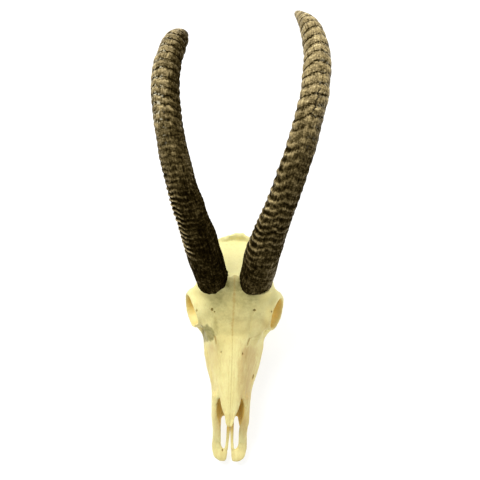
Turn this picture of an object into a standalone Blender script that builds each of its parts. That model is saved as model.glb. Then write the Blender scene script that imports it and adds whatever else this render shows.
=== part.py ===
"""Roan antelope skull with its horns, life size.

It has no lower jaw and lies on its cheek teeth and the two jugular processes behind them,
nose towards -Y, horns rising and sweeping back towards +Y, the animal's left side towards +X.
Lengths in the tables are millimetres, turned into metres once, as each form is made.
"""

import math
from typing import NamedTuple

import bmesh
import bpy
import numpy as np
from mathutils import Matrix, Vector

MM = 0.001
SIDES = (-1.0, 1.0)
SIDE_NAMES = {-1.0: "right", 1.0: "left"}

# Landmarks of the skull along its length, before the origin is moved under the middle.
NASAL_TIP_Y = -143.0
NASAL_ROOT_Y = 4.0
NASAL_THICKNESS = 4.8
ORBIT_CENTRES = {-1.0: (74.0, 50.0, 93.0), 1.0: (72.0, 50.0, 93.0)}
ORBIT_AXIS = (0.915, -0.32, 0.25)
ORBIT_RIM_RADIUS = 28.5
HORN_ROOT = (93.5, 130.8)
ORIGIN = (-0.95, 176.15, 0.0)

FACE_SLOPE = math.radians(20.0)
SEAM = 0.35
VOXEL = 1.8
SKULL_TRIANGLES = 6500

TOOTH_ROW_FRONT_Y = -64.0
TOOTH_ROOT_Z = 26.0

HORN_SIDES = 18
HORN_RINGS = 28
RINGS_FROM = 0.10
RINGS_TO = 0.88
RING_HEIGHT = 1.4


class Section(NamedTuple):
    """One cross-section of the skull's body.

    The crown and floor lie on the midline, and three points lead down the side.
    """

    y: float
    crown: float
    brow_x: float
    brow_z: float
    cheek_x: float
    cheek_z: float
    jaw_x: float
    jaw_z: float
    floor: float


BODY = (
    Section(-94, 84, 20, 76, 31.5, 50, 32, 23, 19),
    Section(-76, 90, 21, 82, 32, 56, 33, 26, 22),
    Section(-58, 96, 22, 88, 37, 54, 37, 28, 25),
    Section(-40, 101, 23, 94, 43, 52, 42, 30, 26),
    Section(-20, 107, 26, 100, 48, 52, 45, 32, 26),
    Section(2, 114, 32, 107, 52, 58, 47, 34, 26),
    Section(22, 121, 45, 113, 51, 66, 44, 38, 27),
    Section(50, 132, 56, 123, 42, 78, 30, 46, 32),
    Section(74, 142, 66, 122, 38, 88, 20, 54, 42),
    Section(90, 148, 62, 121, 44, 92, 24, 60, 46),
    Section(101, 142, 56, 119, 45, 92, 26, 59, 46),
    Section(118, 134, 44, 116, 46, 90, 28, 58, 46),
    Section(140, 124, 36, 112, 47, 84, 32, 56, 45),
    Section(158, 114, 35, 103, 48, 78, 34, 54, 43),
    Section(172, 104, 36, 94, 49, 71, 34, 52, 42),
    Section(184, 91, 31, 83, 43, 65, 28, 50, 42),
)


class Tooth(NamedTuple):
    """An upper cheek tooth: its length along the row and width, how far out it stands, and how worn it is."""

    length: float
    width: float
    out: float
    wear: float


TEETH = (
    Tooth(13, 12, 31.0, 0.9),
    Tooth(15, 15, 33.5, 0.5),
    Tooth(15, 17, 36.0, 0.2),
    Tooth(21, 20, 38.5, 0.0),
    Tooth(25, 21, 40.5, 0.15),
    Tooth(26, 20, 41.0, 0.6),
)


class Horn(NamedTuple):
    """One horn: where it starts, its length, how steeply it leaves the face and points past it.

    spread is how far it leans out and half_width how thick it is, at even steps along it.
    foot is how deep its middle sits in the skull, and how much higher its foot is cut on the
    outer side and in front.
    """

    out: float
    length: float
    rise_deg: float
    droop_deg: float
    spread: tuple
    half_width: tuple
    foot: tuple


HORNS = {
    -1.0: Horn(
        out=36.9,
        length=562.0,
        rise_deg=53.9,
        droop_deg=-75.0,
        spread=(0, 19.4, 48.7, 72.9, 84.1, 80.2, 70.4),
        half_width=(26.8, 28.2, 24.4, 22.4, 22.2, 21.3, 19.2, 4.0),
        foot=(12.4, 5.0, 9.0),
    ),
    1.0: Horn(
        out=34.5,
        length=566.0,
        rise_deg=55.1,
        droop_deg=-62.3,
        spread=(0, 15.4, 43.5, 70.2, 85.0, 78.4, 54.0),
        half_width=(28.0, 28.6, 23.6, 22.2, 21.8, 20.7, 16.7, 4.0),
        foot=(6.0, 9.0, 15.0),
    ),
}
HORN_DEPTH_RATIO = ((0.0, 1.14), (0.4, 1.10), (0.8, 1.02), (1.0, 1.0))


def interpolate(rows, count):
    """Catmull-Rom curve through the rows, read at count even steps."""
    rows = np.asarray(rows, float)
    padded = np.vstack([2 * rows[0] - rows[1], rows, 2 * rows[-1] - rows[-2]])
    place = np.linspace(0, len(rows) - 1, count)
    step = np.minimum(place.astype(int), len(rows) - 2)
    t = (place - step)[:, None]
    a, b, c, d = (padded[step + k] for k in range(4))
    bend = (2 * a - 5 * b + 4 * c - d) * t**2
    return 0.5 * (2 * b + (c - a) * t + bend + (3 * b - a - 3 * c + d) * t**3)


def skin(bm, rings, closed=False):
    """Joins rings of points, in millimetres, into one closed surface with flat ends."""
    loops = [[bm.verts.new(Vector(p) * MM) for p in ring] for ring in rings]
    pairs = list(zip(loops, loops[1:]))
    if closed:
        pairs.append((loops[-1], loops[0]))
    faces = []
    for low, high in pairs:
        for i in range(len(low)):
            j = (i + 1) % len(low)
            faces.append(bm.faces.new((low[i], low[j], high[j], high[i])))
    if not closed:
        faces.append(bm.faces.new(loops[0][::-1]))
        faces.append(bm.faces.new(loops[-1]))
    bmesh.ops.recalc_face_normals(bm, faces=faces)


def tube_rings(rows, count, sides=16, up=(0, 0, 1), closed=False):
    """Rings round a curved path. A row is x, y, z, the radius sideways and the radius towards up."""
    rows = np.asarray(rows, float)
    if closed:
        rows = np.vstack([rows, rows[:1]])
    path = interpolate(rows, count + 1 if closed else count)
    tangents = np.gradient(path[:, :3], axis=0)
    if closed:
        tangents[0] = tangents[-1] = path[1, :3] - path[-2, :3]
        path, tangents = path[:-1], tangents[:-1]
    tangents /= np.linalg.norm(tangents, axis=1)[:, None]
    side = np.cross(tangents, np.asarray(up, float))
    side /= np.linalg.norm(side, axis=1)[:, None]
    over = np.cross(side, tangents)
    turn = np.linspace(0, 2 * np.pi, sides, endpoint=False)
    across = path[:, 3, None, None] * np.cos(turn)[None, :, None] * side[:, None, :]
    along = path[:, 4, None, None] * np.sin(turn)[None, :, None] * over[:, None, :]
    return path[:, None, :3] + across + along


def tube(bm, rows, count=12, sides=16, up=(0, 0, 1), closed=False):
    """Adds a closed tube along the rows of a path."""
    skin(bm, tube_rings(rows, count, sides, up, closed), closed)


def across(half, middle):
    """A path from the left over its middle row to the right, as the left half's mirror image."""
    return half + [middle] + [(-row[0], *row[1:]) for row in half[::-1]]


def both_sides(make, bm, rows, **how):
    """Adds a form on the left and its mirror image on the right."""
    for side in SIDES:
        turned = np.asarray(rows, float).copy()
        turned[:, 0] *= side
        make(bm, turned, **how)


def ball(bm, centre, radii):
    """Adds an ellipsoid."""
    place = Matrix.Translation(Vector(centre) * MM) @ Matrix.Diagonal((*(Vector(radii) * MM), 1))
    bmesh.ops.create_uvsphere(bm, u_segments=20, v_segments=12, radius=1, matrix=place)


def side_balls(bm, centre, radii):
    """Adds an ellipsoid on each side."""
    for side in SIDES:
        ball(bm, (centre[0] * side, centre[1], centre[2]), radii)


def section_ring(section, count=32):
    """The closed outline of a body section, smoothed through its points."""
    side = [
        (section.brow_x, section.brow_z),
        (section.cheek_x, section.cheek_z),
        (section.jaw_x, section.jaw_z),
    ]
    outline = [(0, section.crown), *side, (0, section.floor)]
    outline += [(-x, z) for x, z in reversed(side)]
    closed = interpolate(outline + outline + outline[:1], 2 * count * 2 + 1)
    once = closed[count : 3 * count : 2]
    return [(x, section.y, z) for x, z in once]


def body(bm):
    """The face, forehead and braincase as one body from nose to occiput."""
    rows = interpolate([tuple(s) for s in BODY], 4 * len(BODY))
    skin(bm, [section_ring(Section(*row)) for row in rows])


def orbit_frame(side):
    """Centre, outward axis, upward and forward directions of an eye socket's opening."""
    centre = Vector(ORBIT_CENTRES[side])
    axis = Vector(ORBIT_AXIS).normalized()
    up = (Vector((0, 0, 1)) - axis * axis.z).normalized()
    front = axis.cross(up)
    flip = Vector((side, 1, 1))
    return [Vector((v.x * flip.x, v.y, v.z)) for v in (centre, axis, up, front)]


def orbit_cups(bm):
    """The bony tube that holds each eye, with its raised rim."""
    for side in SIDES:
        centre, axis, up, front = orbit_frame(side)
        reach = ((-50, 40, 30), (-34, 38, 32), (-18, 34.5, 32), (-4, 32.5, 31.5), (3, 30, 29.5))
        rows = [(*(centre + axis * out), wide, high) for out, wide, high in reach]
        tube(bm, rows, count=12, sides=24, up=tuple(up))
        rim = []
        for turn in np.linspace(0, 2 * math.pi, 16, endpoint=False):
            point = centre + (up * math.cos(turn) + front * math.sin(turn)) * ORBIT_RIM_RADIUS
            rim.append((*point, 4.2, 5.0))
        tube(bm, rim, count=28, sides=10, up=tuple(axis), closed=True)


def zygomatic_arches(bm):
    """The cheek bone under each socket, the arch back to the temple, and the bar behind the socket."""
    cheek = [(37, -44, 43, 6, 7), (43, -20, 47, 7, 9), (46, 6, 53, 7.5, 10), (50, 20, 57, 8, 10)]
    cheek += [(60, 31, 60, 8, 10), (70, 42, 63, 7.5, 10), (77, 53, 65, 6, 9), (78, 67, 66, 5, 8)]
    arch = [(77, 60, 66, 5, 8), (73, 84, 64, 4.5, 8), (64, 108, 66, 4.5, 7)]
    arch += [(58, 128, 70, 6, 7), (46, 142, 74, 7, 8)]
    bar = [(62, 74, 117, 8, 9), (74, 78, 108, 6, 8), (79, 77, 92, 5, 7), (78, 71, 68, 5, 8)]
    both_sides(tube, bm, cheek, count=16)
    both_sides(tube, bm, arch)
    both_sides(tube, bm, bar, up=(0, 1, 0.2))


def brow_plates(bm):
    """The shoulder of the forehead from horn to socket, and the bone from socket to muzzle."""
    shoulder = [(24, 84, 124, 22, 13), (46, 82, 122, 20, 12), (62, 77, 117, 14, 9), (73, 72, 110, 9, 7)]
    tear_bone = [(49, 30, 101, 9, 10), (42, 14, 92, 8, 9), (36, -4, 86, 6, 7)]
    both_sides(tube, bm, shoulder)
    both_sides(tube, bm, tear_bone)


def horn_pedicles(bm):
    """The bony stumps that the horns sit on, and the ridge that joins them."""
    for side in SIDES:
        path = horn_points(side, np.array([-34.0, -16.0, 14.0]))
        rows = [(*point, radius, radius * 1.12) for point, radius in zip(path, (36.0, 31.0, 25.5))]
        tube(bm, rows, count=8, up=(0, 1, 0))
    side_balls(bm, (36, 79, 132), (27, 18, 22))
    half_ridge = [(-32, 96, 132, 13, 13), (-13, 93, 139, 10, 10)]
    tube(bm, across(half_ridge, (0, 92, 142, 9, 9)))


def back_of_skull(bm):
    """The nuchal crest, condyles, jugular processes, ear openings and the bullae beside them."""
    half_crest = [(-50, 162, 62, 5, 6), (-47, 171.5, 76.5, 4.5, 6), (-37, 179, 89, 4.5, 6)]
    half_crest += [(-20, 183.5, 95.5, 4.5, 6)]
    tube(bm, across(half_crest, (0, 188, 99.5, 5, 7)), count=32, sides=10)
    tube(bm, [(0, 187, 98, 4, 7), (0, 190, 86, 3, 6), (0, 191, 74, 2, 4)], count=8, up=(0, 1, 0))
    ball(bm, (8, 188, 101), (8, 6, 5))
    condyle = [(8, 189, 33, 6, 6), (17, 191, 38, 9, 9), (22, 191, 50, 8, 9), (20, 187, 62, 6, 7)]
    both_sides(tube, bm, condyle, up=(0, 1, 0))
    jugular = [(43, 162, 68, 13, 10), (43, 171, 46, 11, 7), (41, 176, 24, 8.5, 6)]
    jugular += [(39, 177, 8, 6, 5), (38, 177, -3, 4.5, 4)]
    both_sides(tube, bm, jugular, up=(0, 1, 0))
    side_balls(bm, (47, 161, 72), (10, 13, 15))
    side_balls(bm, (27, 142, 40), (10, 16, 12))
    meatus = [(32, 146, 58, 10, 10), (48, 145, 62, 8.5, 8.5), (56, 144, 66, 7.5, 7.5)]
    both_sides(tube, bm, meatus, count=6)
    base = [(0, 96, 46, 13, 10), (0, 130, 43, 14, 9), (0, 160, 40, 17, 9), (0, 182, 38, 20, 8)]
    tube(bm, base)


def tooth_beds(bm):
    """The ridge of the upper jaw that holds each row of cheek teeth, and the plates behind the palate."""
    bed = [(29, -80, 27, 5, 6), (31, -62, 26, 8, 8), (36, -32, 25, 11, 10)]
    bed += [(40, 4, 25, 13, 10), (41, 34, 26, 12, 10), (38, 56, 36, 9, 10)]
    both_sides(tube, bm, bed, count=20)
    plate = [(20, 34, 36, 5, 10), (16, 56, 37, 4, 13), (15, 78, 38, 4, 13), (17, 98, 46, 4, 10)]
    both_sides(tube, bm, plate)
    hook = [(15, 70, 34, 3.5, 8), (15, 80, 24, 3.2, 5), (16, 86, 17, 2.8, 3.4)]
    both_sides(tube, bm, hook)


def muzzle(bm):
    """The bars either side of the nose opening, their broad flat tips, and the two thin rods between."""
    bar = [(27, -84, 49, 7.3, 26), (26, -104, 43, 7.4, 22.5), (25.6, -122, 37, 7.4, 19.5)]
    bar += [(23.6, -140, 30.5, 7.2, 14.5), (22.6, -152, 25.5, 7.4, 10.5)]
    bar += [(22.8, -163, 20, 8.2, 6.5), (22.6, -173, 17, 8.9, 5)]
    lip = [(24.5, -100, 23, 9, 6), (24.3, -124, 20, 9, 5)]
    lip += [(22.9, -150, 18, 7.6, 5), (22.8, -166, 16.5, 8.3, 5)]
    tip = [(22.6, -160, 17, 7.7, 4.8), (22.6, -172, 16, 9.2, 4.6), (19.6, -179, 15.2, 11.4, 4.5)]
    tip += [(16, -184, 14.6, 13.2, 4.4), (14.2, -188, 14.2, 11, 4), (12, -191.5, 13.7, 8, 3.6)]
    tip += [(10.2, -194.5, 13.3, 5.2, 3.2), (9, -196.5, 13, 2.8, 2.6)]
    corner = [(5.6, -178, 15, 3, 4), (5.2, -187, 14.4, 2.9, 3.8), (6.2, -193, 13.6, 2.8, 3.2)]
    corner += [(7.6, -197, 13, 2.2, 2.6)]
    rod = [(2.8, -104, 27, 3, 6), (2.8, -124, 23, 3, 4.6), (2.8, -150, 19, 2.6, 3.8)]
    rod += [(3.3, -165, 17, 2.2, 3.6), (3.5, -175, 16, 2.3, 3.6), (6, -184, 15, 4, 3.6)]
    floor = [(0, -121, 21.5, 17, 3.4), (0, -104, 23, 18, 4), (0, -84, 25, 18, 4)]
    tube(bm, floor)
    both_sides(tube, bm, bar, count=18)
    both_sides(tube, bm, lip)
    both_sides(tube, bm, tip, count=16)
    both_sides(tube, bm, corner, count=8)
    both_sides(tube, bm, rod, count=14)


def nose_hollow(bm):
    """The air passage inside the muzzle, open in front."""
    passage = [(0, -200, 44, 15, 20), (0, -160, 44, 15, 20), (0, -140, 47, 16.5, 23)]
    passage += [(0, -124, 51, 20, 26), (0, -112, 54, 20.5, 27), (0, -102, 56, 17.5, 26.5)]
    passage += [(0, -92, 57, 15.5, 25), (0, -78, 58, 14.5, 21), (0, -60, 60, 9, 13), (0, -50, 61, 3, 5)]
    tube(bm, passage, count=24)


def sockets(bm):
    """The hollows of the eye sockets, and the gaps between the braincase and the arches."""
    for side in SIDES:
        centre, axis, up, _ = orbit_frame(side)
        centre -= up * 2
        reach = ((34, 30.0), (12, 28.3), (0, 27.2), (-16, 25.0), (-32, 19.0), (-46, 10.0), (-52, 4.0))
        rows = [(*(centre + axis * out), radius, radius * 0.98) for out, radius in reach]
        tube(bm, rows, count=18, sides=24, up=tuple(up))
    fossa = [(48, 56, 82, 9, 13), (57, 74, 82, 12, 16), (60, 94, 86, 12, 18)]
    fossa += [(59, 112, 92, 10, 20), (57, 132, 98, 6, 16)]
    both_sides(tube, bm, fossa, count=16)


def under_hollows(bm):
    """The openings behind the palate and for the spinal cord, the ear openings and the vaulted palate."""
    choana = [(0, 26, 33, 8, 5), (0, 44, 35, 11, 11), (0, 70, 33, 11, 13)]
    choana += [(0, 92, 29, 12, 12), (0, 112, 22, 12, 8)]
    cord = [(0, 214, 50, 16, 15), (0, 186, 52, 13.5, 13), (0, 162, 58, 13, 13), (0, 146, 62, 8, 8)]
    vault = [(0, -124, 8, 13, 10), (0, -96, 10, 16, 12), (0, -50, 10, 19, 15)]
    vault += [(0, 0, 10, 25, 16), (0, 34, 10, 26, 16), (0, 52, 12, 20, 12)]
    tube(bm, choana)
    tube(bm, cord)
    tube(bm, vault, count=16)
    both_sides(tube, bm, [(46, 145, 62, 4, 4), (64, 144, 68, 4.6, 4.6)], count=6)


def object_from(name, bm):
    """Turns a bmesh into an object in the scene."""
    mesh = bpy.data.meshes.new(name)
    bm.to_mesh(mesh)
    bm.free()
    made = bpy.data.objects.new(name, mesh)
    bpy.context.scene.collection.objects.link(made)
    return made


def built(name, *makers):
    """An object holding the forms that the makers add."""
    bm = bmesh.new()
    for make in makers:
        make(bm)
    return object_from(name, bm)


def settle(obj):
    """Replaces an object's mesh by what its modifiers make of it."""
    graph = bpy.context.evaluated_depsgraph_get()
    mesh = bpy.data.meshes.new_from_object(obj.evaluated_get(graph))
    obj.modifiers.clear()
    obj.data = mesh
    return obj


def fuse(obj):
    """Joins overlapping closed forms into one surface of even small faces."""
    remesh = obj.modifiers.new("fuse", "REMESH")
    remesh.mode = "VOXEL"
    remesh.voxel_size = VOXEL * MM
    return settle(obj)


def combine(obj, other, operation, solver="EXACT"):
    """Applies a Boolean with another object, which is then removed."""
    cut = obj.modifiers.new("cut", "BOOLEAN")
    cut.operation = operation
    cut.solver = solver
    cut.object = other
    settle(obj)
    bpy.data.objects.remove(other)
    return obj


def smooth(obj, times):
    """Rounds the steps that fusing leaves."""
    relax = obj.modifiers.new("smooth", "SMOOTH")
    relax.factor = 0.5
    relax.iterations = times
    return settle(obj)


def thin(obj, triangles):
    """Lowers the number of triangles."""
    obj.data.calc_loop_triangles()
    fewer = obj.modifiers.new("thin", "DECIMATE")
    fewer.ratio = min(1.0, triangles / len(obj.data.loop_triangles))
    return settle(obj)


def part_bodies(obj, names_by_rule):
    """Splits an object's closed bodies into named objects. A rule names a body, or drops it."""
    bm = bmesh.new()
    bm.from_mesh(obj.data)
    made = {}
    for group in islands(bm):
        middle = sum((v.co for v in group), Vector()) / len(group) / MM
        name = names_by_rule(middle, len(group))
        if name and name not in made:
            made[name] = body_copy(name, group)
    bm.free()
    bpy.data.objects.remove(obj)
    return made


def islands(bm):
    """The connected groups of vertices, largest first."""
    left, groups = set(bm.verts), []
    while left:
        front = [left.pop()]
        group = list(front)
        while front:
            near = {e.other_vert(v) for v in front for e in v.link_edges} & left
            left -= near
            group += near
            front = list(near)
        groups.append(group)
    return sorted(groups, key=len, reverse=True)


def body_copy(name, group):
    """A new object made of the faces among a group of vertices."""
    bm = bmesh.new()
    copies = {v: bm.verts.new(v.co) for v in group}
    for face in {f for v in group for f in v.link_faces}:
        bm.faces.new([copies[v] for v in face.verts])
    return object_from(name, bm)


def teeth(bm):
    """Both rows of worn cheek teeth: two-lobed columns, flat below, with their roots in the bone."""
    for side in SIDES:
        y = TOOTH_ROW_FRONT_Y
        for tooth in TEETH:
            middle = y + tooth.length / 2
            lower, upper = [], []
            for turn in np.linspace(0, 2 * math.pi, 16, endpoint=False):
                lobe = 1 - 0.13 * math.cos(2 * turn) ** 8 * (abs(math.cos(turn)) > 0.7)
                x = tooth.out + math.cos(turn) * lobe * tooth.width / 2
                reach = abs(math.sin(turn)) ** 0.6 * tooth.length * 0.49
                along = middle + math.copysign(reach, math.sin(turn))
                lower.append((side * x, along, tooth.wear))
                upper.append((side * (tooth.out + (x - tooth.out) * 0.86), along, TOOTH_ROOT_Z))
            skin(bm, [lower, upper])
            y += tooth.length


def horn_points(side, along):
    """Points on a horn's middle line at distances from its root, in millimetres.

    The horn bends evenly in the plane of the face's slope while it spreads sideways.
    Distances under nothing run straight on, into the skull.
    """
    horn = HORNS[side]
    fine = np.linspace(0, horn.length, 800)
    step = fine[1]
    angle = np.radians(horn.rise_deg + (horn.droop_deg - horn.rise_deg) * fine / horn.length)
    back = np.concatenate([[0], np.cumsum(np.cos(angle[:-1]) * step)])
    rise = np.concatenate([[0], np.cumsum(np.sin(angle[:-1]) * step)])
    spread = side * interpolate(np.array(horn.spread, float)[:, None], len(fine))[:, 0]
    slope_y, slope_z = math.cos(FACE_SLOPE), math.sin(FACE_SLOPE)
    line = np.stack([spread, back * slope_y - rise * slope_z, back * slope_z + rise * slope_y], -1)
    line += np.array((side * horn.out, *HORN_ROOT))
    start = (line[4] - line[0]) / fine[4]
    points = np.stack([np.interp(along, fine, line[:, k]) for k in range(3)], -1)
    return points + np.minimum(along, 0)[:, None] * start


def horn_rings(side, grow=0.0, until=1.0):
    """The cross-sections of a horn from its foot up, with its growth rings, larger all round by grow."""
    horn = HORNS[side]
    depth, out_rise, front_rise = horn.foot
    shares, lifts = [-depth / horn.length, 0.025, 0.05, 0.07], [0.0] * 4
    for k in range(HORN_RINGS):
        here, after = (RINGS_FROM + (RINGS_TO - RINGS_FROM) * (n / HORN_RINGS) ** 1.1 for n in (k, k + 1))
        height = RING_HEIGHT * min(1.0, 0.4 + 6.0 * k / HORN_RINGS, 4.0 * (1.06 - k / HORN_RINGS))
        shares += [here, here + 0.6 * (after - here)]
        lifts += [-height, height]
    shares += [0.9, 0.93, 0.96, 0.985, 1.0]
    lifts += [0.0] * 5
    if grow:
        shares[0] -= grow / horn.length
    shares, lifts = np.array(shares), np.array(lifts)
    keep = shares <= until
    shares, lifts = shares[keep], lifts[keep]
    path = horn_points(side, shares * horn.length)
    tangents = horn_points(side, shares * horn.length + 1) - horn_points(side, shares * horn.length - 1)
    tangents /= np.linalg.norm(tangents, axis=1)[:, None]
    front = np.cross((1.0, 0.0, 0.0), tangents)
    front /= np.linalg.norm(front, axis=1)[:, None]
    across = np.cross(tangents, front)
    places, ratios = zip(*HORN_DEPTH_RATIO)
    widths = interpolate(np.array(horn.half_width)[:, None], 200)[:, 0]
    wide = np.interp(shares, np.linspace(0, 1, 200), widths)
    deep = wide * np.interp(shares, places, ratios)
    rings = []
    turn = np.linspace(0, 2 * math.pi, HORN_SIDES, endpoint=False)[:, None]
    for k, centre in enumerate(path):
        one = across[k] * (wide[k] + lifts[k] + grow) * np.cos(turn)
        two = front[k] * (deep[k] + lifts[k] + grow) * np.sin(turn)
        rings.append(centre + one + two)
    rings[0] += tangents[0] * (side * out_rise * np.cos(turn) + front_rise * np.sin(turn))
    return rings


def horn(side):
    """A horn sheath, from its seat in the skull to the tip."""
    return built(f"horn_{SIDE_NAMES[side]}", lambda bm: skin(bm, horn_rings(side)))


def horn_seats(bm):
    """The spaces of both horns' feet, larger all round by the seam."""
    for side in SIDES:
        skin(bm, horn_rings(side, grow=SEAM, until=0.099))


def nasal_rings(grow=0.0, above=0.0):
    """Cross-sections of the pair of nasal bones, a curved plate that narrows to the tip.

    The block is larger all round by grow, and its top is lifted by above.
    """
    rows = [
        (NASAL_ROOT_Y + grow, 115.0, 8, 3),
        (-10, 111.0, 15, 6),
        (-40, 102.0, 19, 7),
        (-70, 93.0, 20, 8),
        (-96, 85.0, 19.0, 8),
        (-106, 81.7, 17.0, 6.5),
        (-116, 78.3, 13.6, 5),
        (-127, 74.2, 8.6, 3),
        (NASAL_TIP_Y - grow, 68.4, 3.4, 1),
    ]
    rings = []
    for y, crown, half_width, drop in interpolate(rows, 26):
        top, under = [], []
        for share in np.linspace(-1, 1, 13):
            x = share * (half_width + grow)
            z = crown - drop * abs(share) ** 2.2
            top.append((x, y, z + above + grow))
            under.append((x, y, z - NASAL_THICKNESS - grow))
        rings.append(top + under[::-1])
    return rings


def nasal_plate(bm):
    """The pair of nasal bones, which jut out over the nose opening."""
    skin(bm, nasal_rings())


def nasal_seams(skull):
    """Cuts the thin seams round and between the nasal bones."""
    tray = built("tray", lambda bm: skin(bm, nasal_rings(grow=SEAM * 1.5, above=15)))
    combine(tray, built("core", lambda bm: skin(bm, nasal_rings(grow=SEAM * 0.5, above=17))), "DIFFERENCE")
    combine(skull, tray, "DIFFERENCE")
    length = NASAL_ROOT_Y - NASAL_TIP_Y + 6
    middle = Vector((0, (NASAL_ROOT_Y + NASAL_TIP_Y) / 2, 90))
    size = Vector((SEAM, length, 80)) * MM
    place = Matrix.Translation(middle * MM) @ Matrix.Diagonal((*size, 1))
    slab = built("slab", lambda bm: bmesh.ops.create_cube(bm, size=1, matrix=place))
    combine(skull, slab, "DIFFERENCE")


def rod_seam(bm):
    """A thin upright slab that parts the two rods of the muzzle."""
    place = Matrix.Translation(Vector((0, -167, 20)) * MM) @ Matrix.Diagonal((SEAM * MM, 0.086, 0.04, 1))
    bmesh.ops.create_cube(bm, size=1, matrix=place)


def premaxilla_seam(bm):
    """A thin slanting slab that parts the tips of the muzzle from the rest."""
    low, high = (-138.0, 6.0), (-98.5, 70.8)
    corners = ((-45, 0), (45, 0), (45, SEAM * 1.25), (-45, SEAM * 1.25))
    skin(bm, [[(x, y + beyond, z) for x, beyond in corners] for y, z in (low, high)])


def trim_box(bm):
    """The space under the floor."""
    place = Matrix.Translation((0, 0, -0.1)) @ Matrix.Diagonal((0.5, 0.9, 0.2, 1))
    bmesh.ops.create_cube(bm, size=1, matrix=place)


def material(name, colour, roughness):
    """A plain surface of one colour."""
    made = bpy.data.materials.new(name)
    made.use_nodes = True
    shader = made.node_tree.nodes["Principled BSDF"]
    shader.inputs["Base Color"].default_value = (*colour, 1)
    shader.inputs["Roughness"].default_value = roughness
    shader.inputs["Metallic"].default_value = 0.0
    return made


def skull_part_name(middle, size):
    """Names the bodies that the muzzle's seam leaves."""
    if size < 40:
        return None
    if middle.y > 0:
        return "cranium"
    bone = "nasal" if middle.z > 60 else "premaxilla"
    return f"{bone}_{SIDE_NAMES[math.copysign(1.0, middle.x)]}"


def main():
    for old in list(bpy.data.objects):
        bpy.data.objects.remove(old)

    front = (body, orbit_cups, zygomatic_arches, tooth_beds, muzzle)
    back = (brow_plates, horn_pedicles, back_of_skull)
    skull = fuse(built("skull", *front, *back))
    for hollow in (nose_hollow, sockets, under_hollows):
        fuse(combine(skull, fuse(built("hollow", hollow)), "DIFFERENCE", "MANIFOLD"))
    fuse(combine(skull, built("plate", nasal_plate), "UNION", "MANIFOLD"))
    thin(smooth(skull, 4), SKULL_TRIANGLES)
    nasal_seams(skull)
    for space in (rod_seam, premaxilla_seam, horn_seats):
        combine(skull, built("space", space), "DIFFERENCE")
    parts = part_bodies(skull, skull_part_name)
    combine(parts["cranium"], built("teeth", teeth), "UNION")
    combine(parts["cranium"], built("floor", trim_box), "DIFFERENCE")

    for side in SIDES:
        made = horn(side)
        parts[made.name] = made
    bone = {"cranium": (0.80, 0.75, 0.55), "nasal": (0.82, 0.77, 0.58), "premaxilla": (0.80, 0.74, 0.54)}
    for name, obj in parts.items():
        colour, roughness = bone.get(name.split("_")[0], (0.10, 0.075, 0.045)), 0.55
        obj.data.materials.clear()
        obj.data.materials.append(material(f"{name}_surface", colour, roughness))
        obj.data.transform(Matrix.Translation(-Vector(ORIGIN) * MM))
        obj.data.shade_smooth()
        obj.data.set_sharp_from_angle(angle=math.radians(40))


main()
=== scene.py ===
"""Looks of a roan antelope skull with its horns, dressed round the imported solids.

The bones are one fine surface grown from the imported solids, carved with sutures, openings and
pores, and then parted where the solids part. The horns and the teeth are modelled anew on the
places and sizes of theirs. Lengths named in the classes are millimetres on the skull.
"""

import logging
import math
from collections.abc import Callable, Iterator
from contextlib import contextmanager
from dataclasses import dataclass
from enum import Enum

import bmesh
import bpy
import numpy as np
from mathutils import Matrix, Vector
from mathutils.bvhtree import BVHTree


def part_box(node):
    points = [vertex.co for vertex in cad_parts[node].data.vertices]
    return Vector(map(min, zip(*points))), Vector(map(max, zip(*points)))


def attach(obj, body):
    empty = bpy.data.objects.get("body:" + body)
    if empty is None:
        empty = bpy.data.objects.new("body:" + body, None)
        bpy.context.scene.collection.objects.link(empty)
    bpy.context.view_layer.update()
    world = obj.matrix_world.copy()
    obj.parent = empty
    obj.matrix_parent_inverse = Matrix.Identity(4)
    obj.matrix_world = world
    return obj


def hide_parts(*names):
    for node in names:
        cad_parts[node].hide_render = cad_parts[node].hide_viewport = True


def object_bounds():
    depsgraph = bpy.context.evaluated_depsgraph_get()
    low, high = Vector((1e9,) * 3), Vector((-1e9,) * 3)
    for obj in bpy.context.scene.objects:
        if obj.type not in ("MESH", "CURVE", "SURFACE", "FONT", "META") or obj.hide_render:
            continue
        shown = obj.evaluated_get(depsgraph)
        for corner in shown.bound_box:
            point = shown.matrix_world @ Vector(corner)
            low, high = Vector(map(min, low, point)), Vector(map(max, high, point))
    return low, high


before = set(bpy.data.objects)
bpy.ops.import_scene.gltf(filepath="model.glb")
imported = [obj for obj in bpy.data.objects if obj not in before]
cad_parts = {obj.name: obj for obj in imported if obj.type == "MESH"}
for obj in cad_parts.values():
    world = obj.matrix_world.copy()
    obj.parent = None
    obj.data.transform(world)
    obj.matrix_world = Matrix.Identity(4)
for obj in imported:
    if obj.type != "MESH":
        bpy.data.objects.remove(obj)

LOG = logging.getLogger("skull")
# Metres: a millimetre, and how close points are that become one.
MM, WELD = 0.001, 2e-5
# Millimetres: y of the nasal bones' hind end, a horn's thickness for noise, and a distance past all.
NASAL_END, THICK, FAR = 4.2, 24, 1e3
SHARP_DEGREES = 48.0
BODY = "root"
BONE_NODES = ("cranium", "nasal_left", "nasal_right", "premaxilla_left", "premaxilla_right")
Array = np.ndarray
Object = bpy.types.Object
BMesh = bmesh.types.BMesh


class Side(Enum):
    """The animal's own sides. The value is the sign of x there."""

    LEFT = 1
    RIGHT = -1

    @property
    def word(self) -> str:
        """The side as it stands in names."""
        return self.name.lower()


class Facing(Enum):
    """The two axes that a line on the bone is drawn in, and the axis that it looks along."""

    TOP = (0, 1, 2)
    SIDE = (1, 2, 0)


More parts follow.
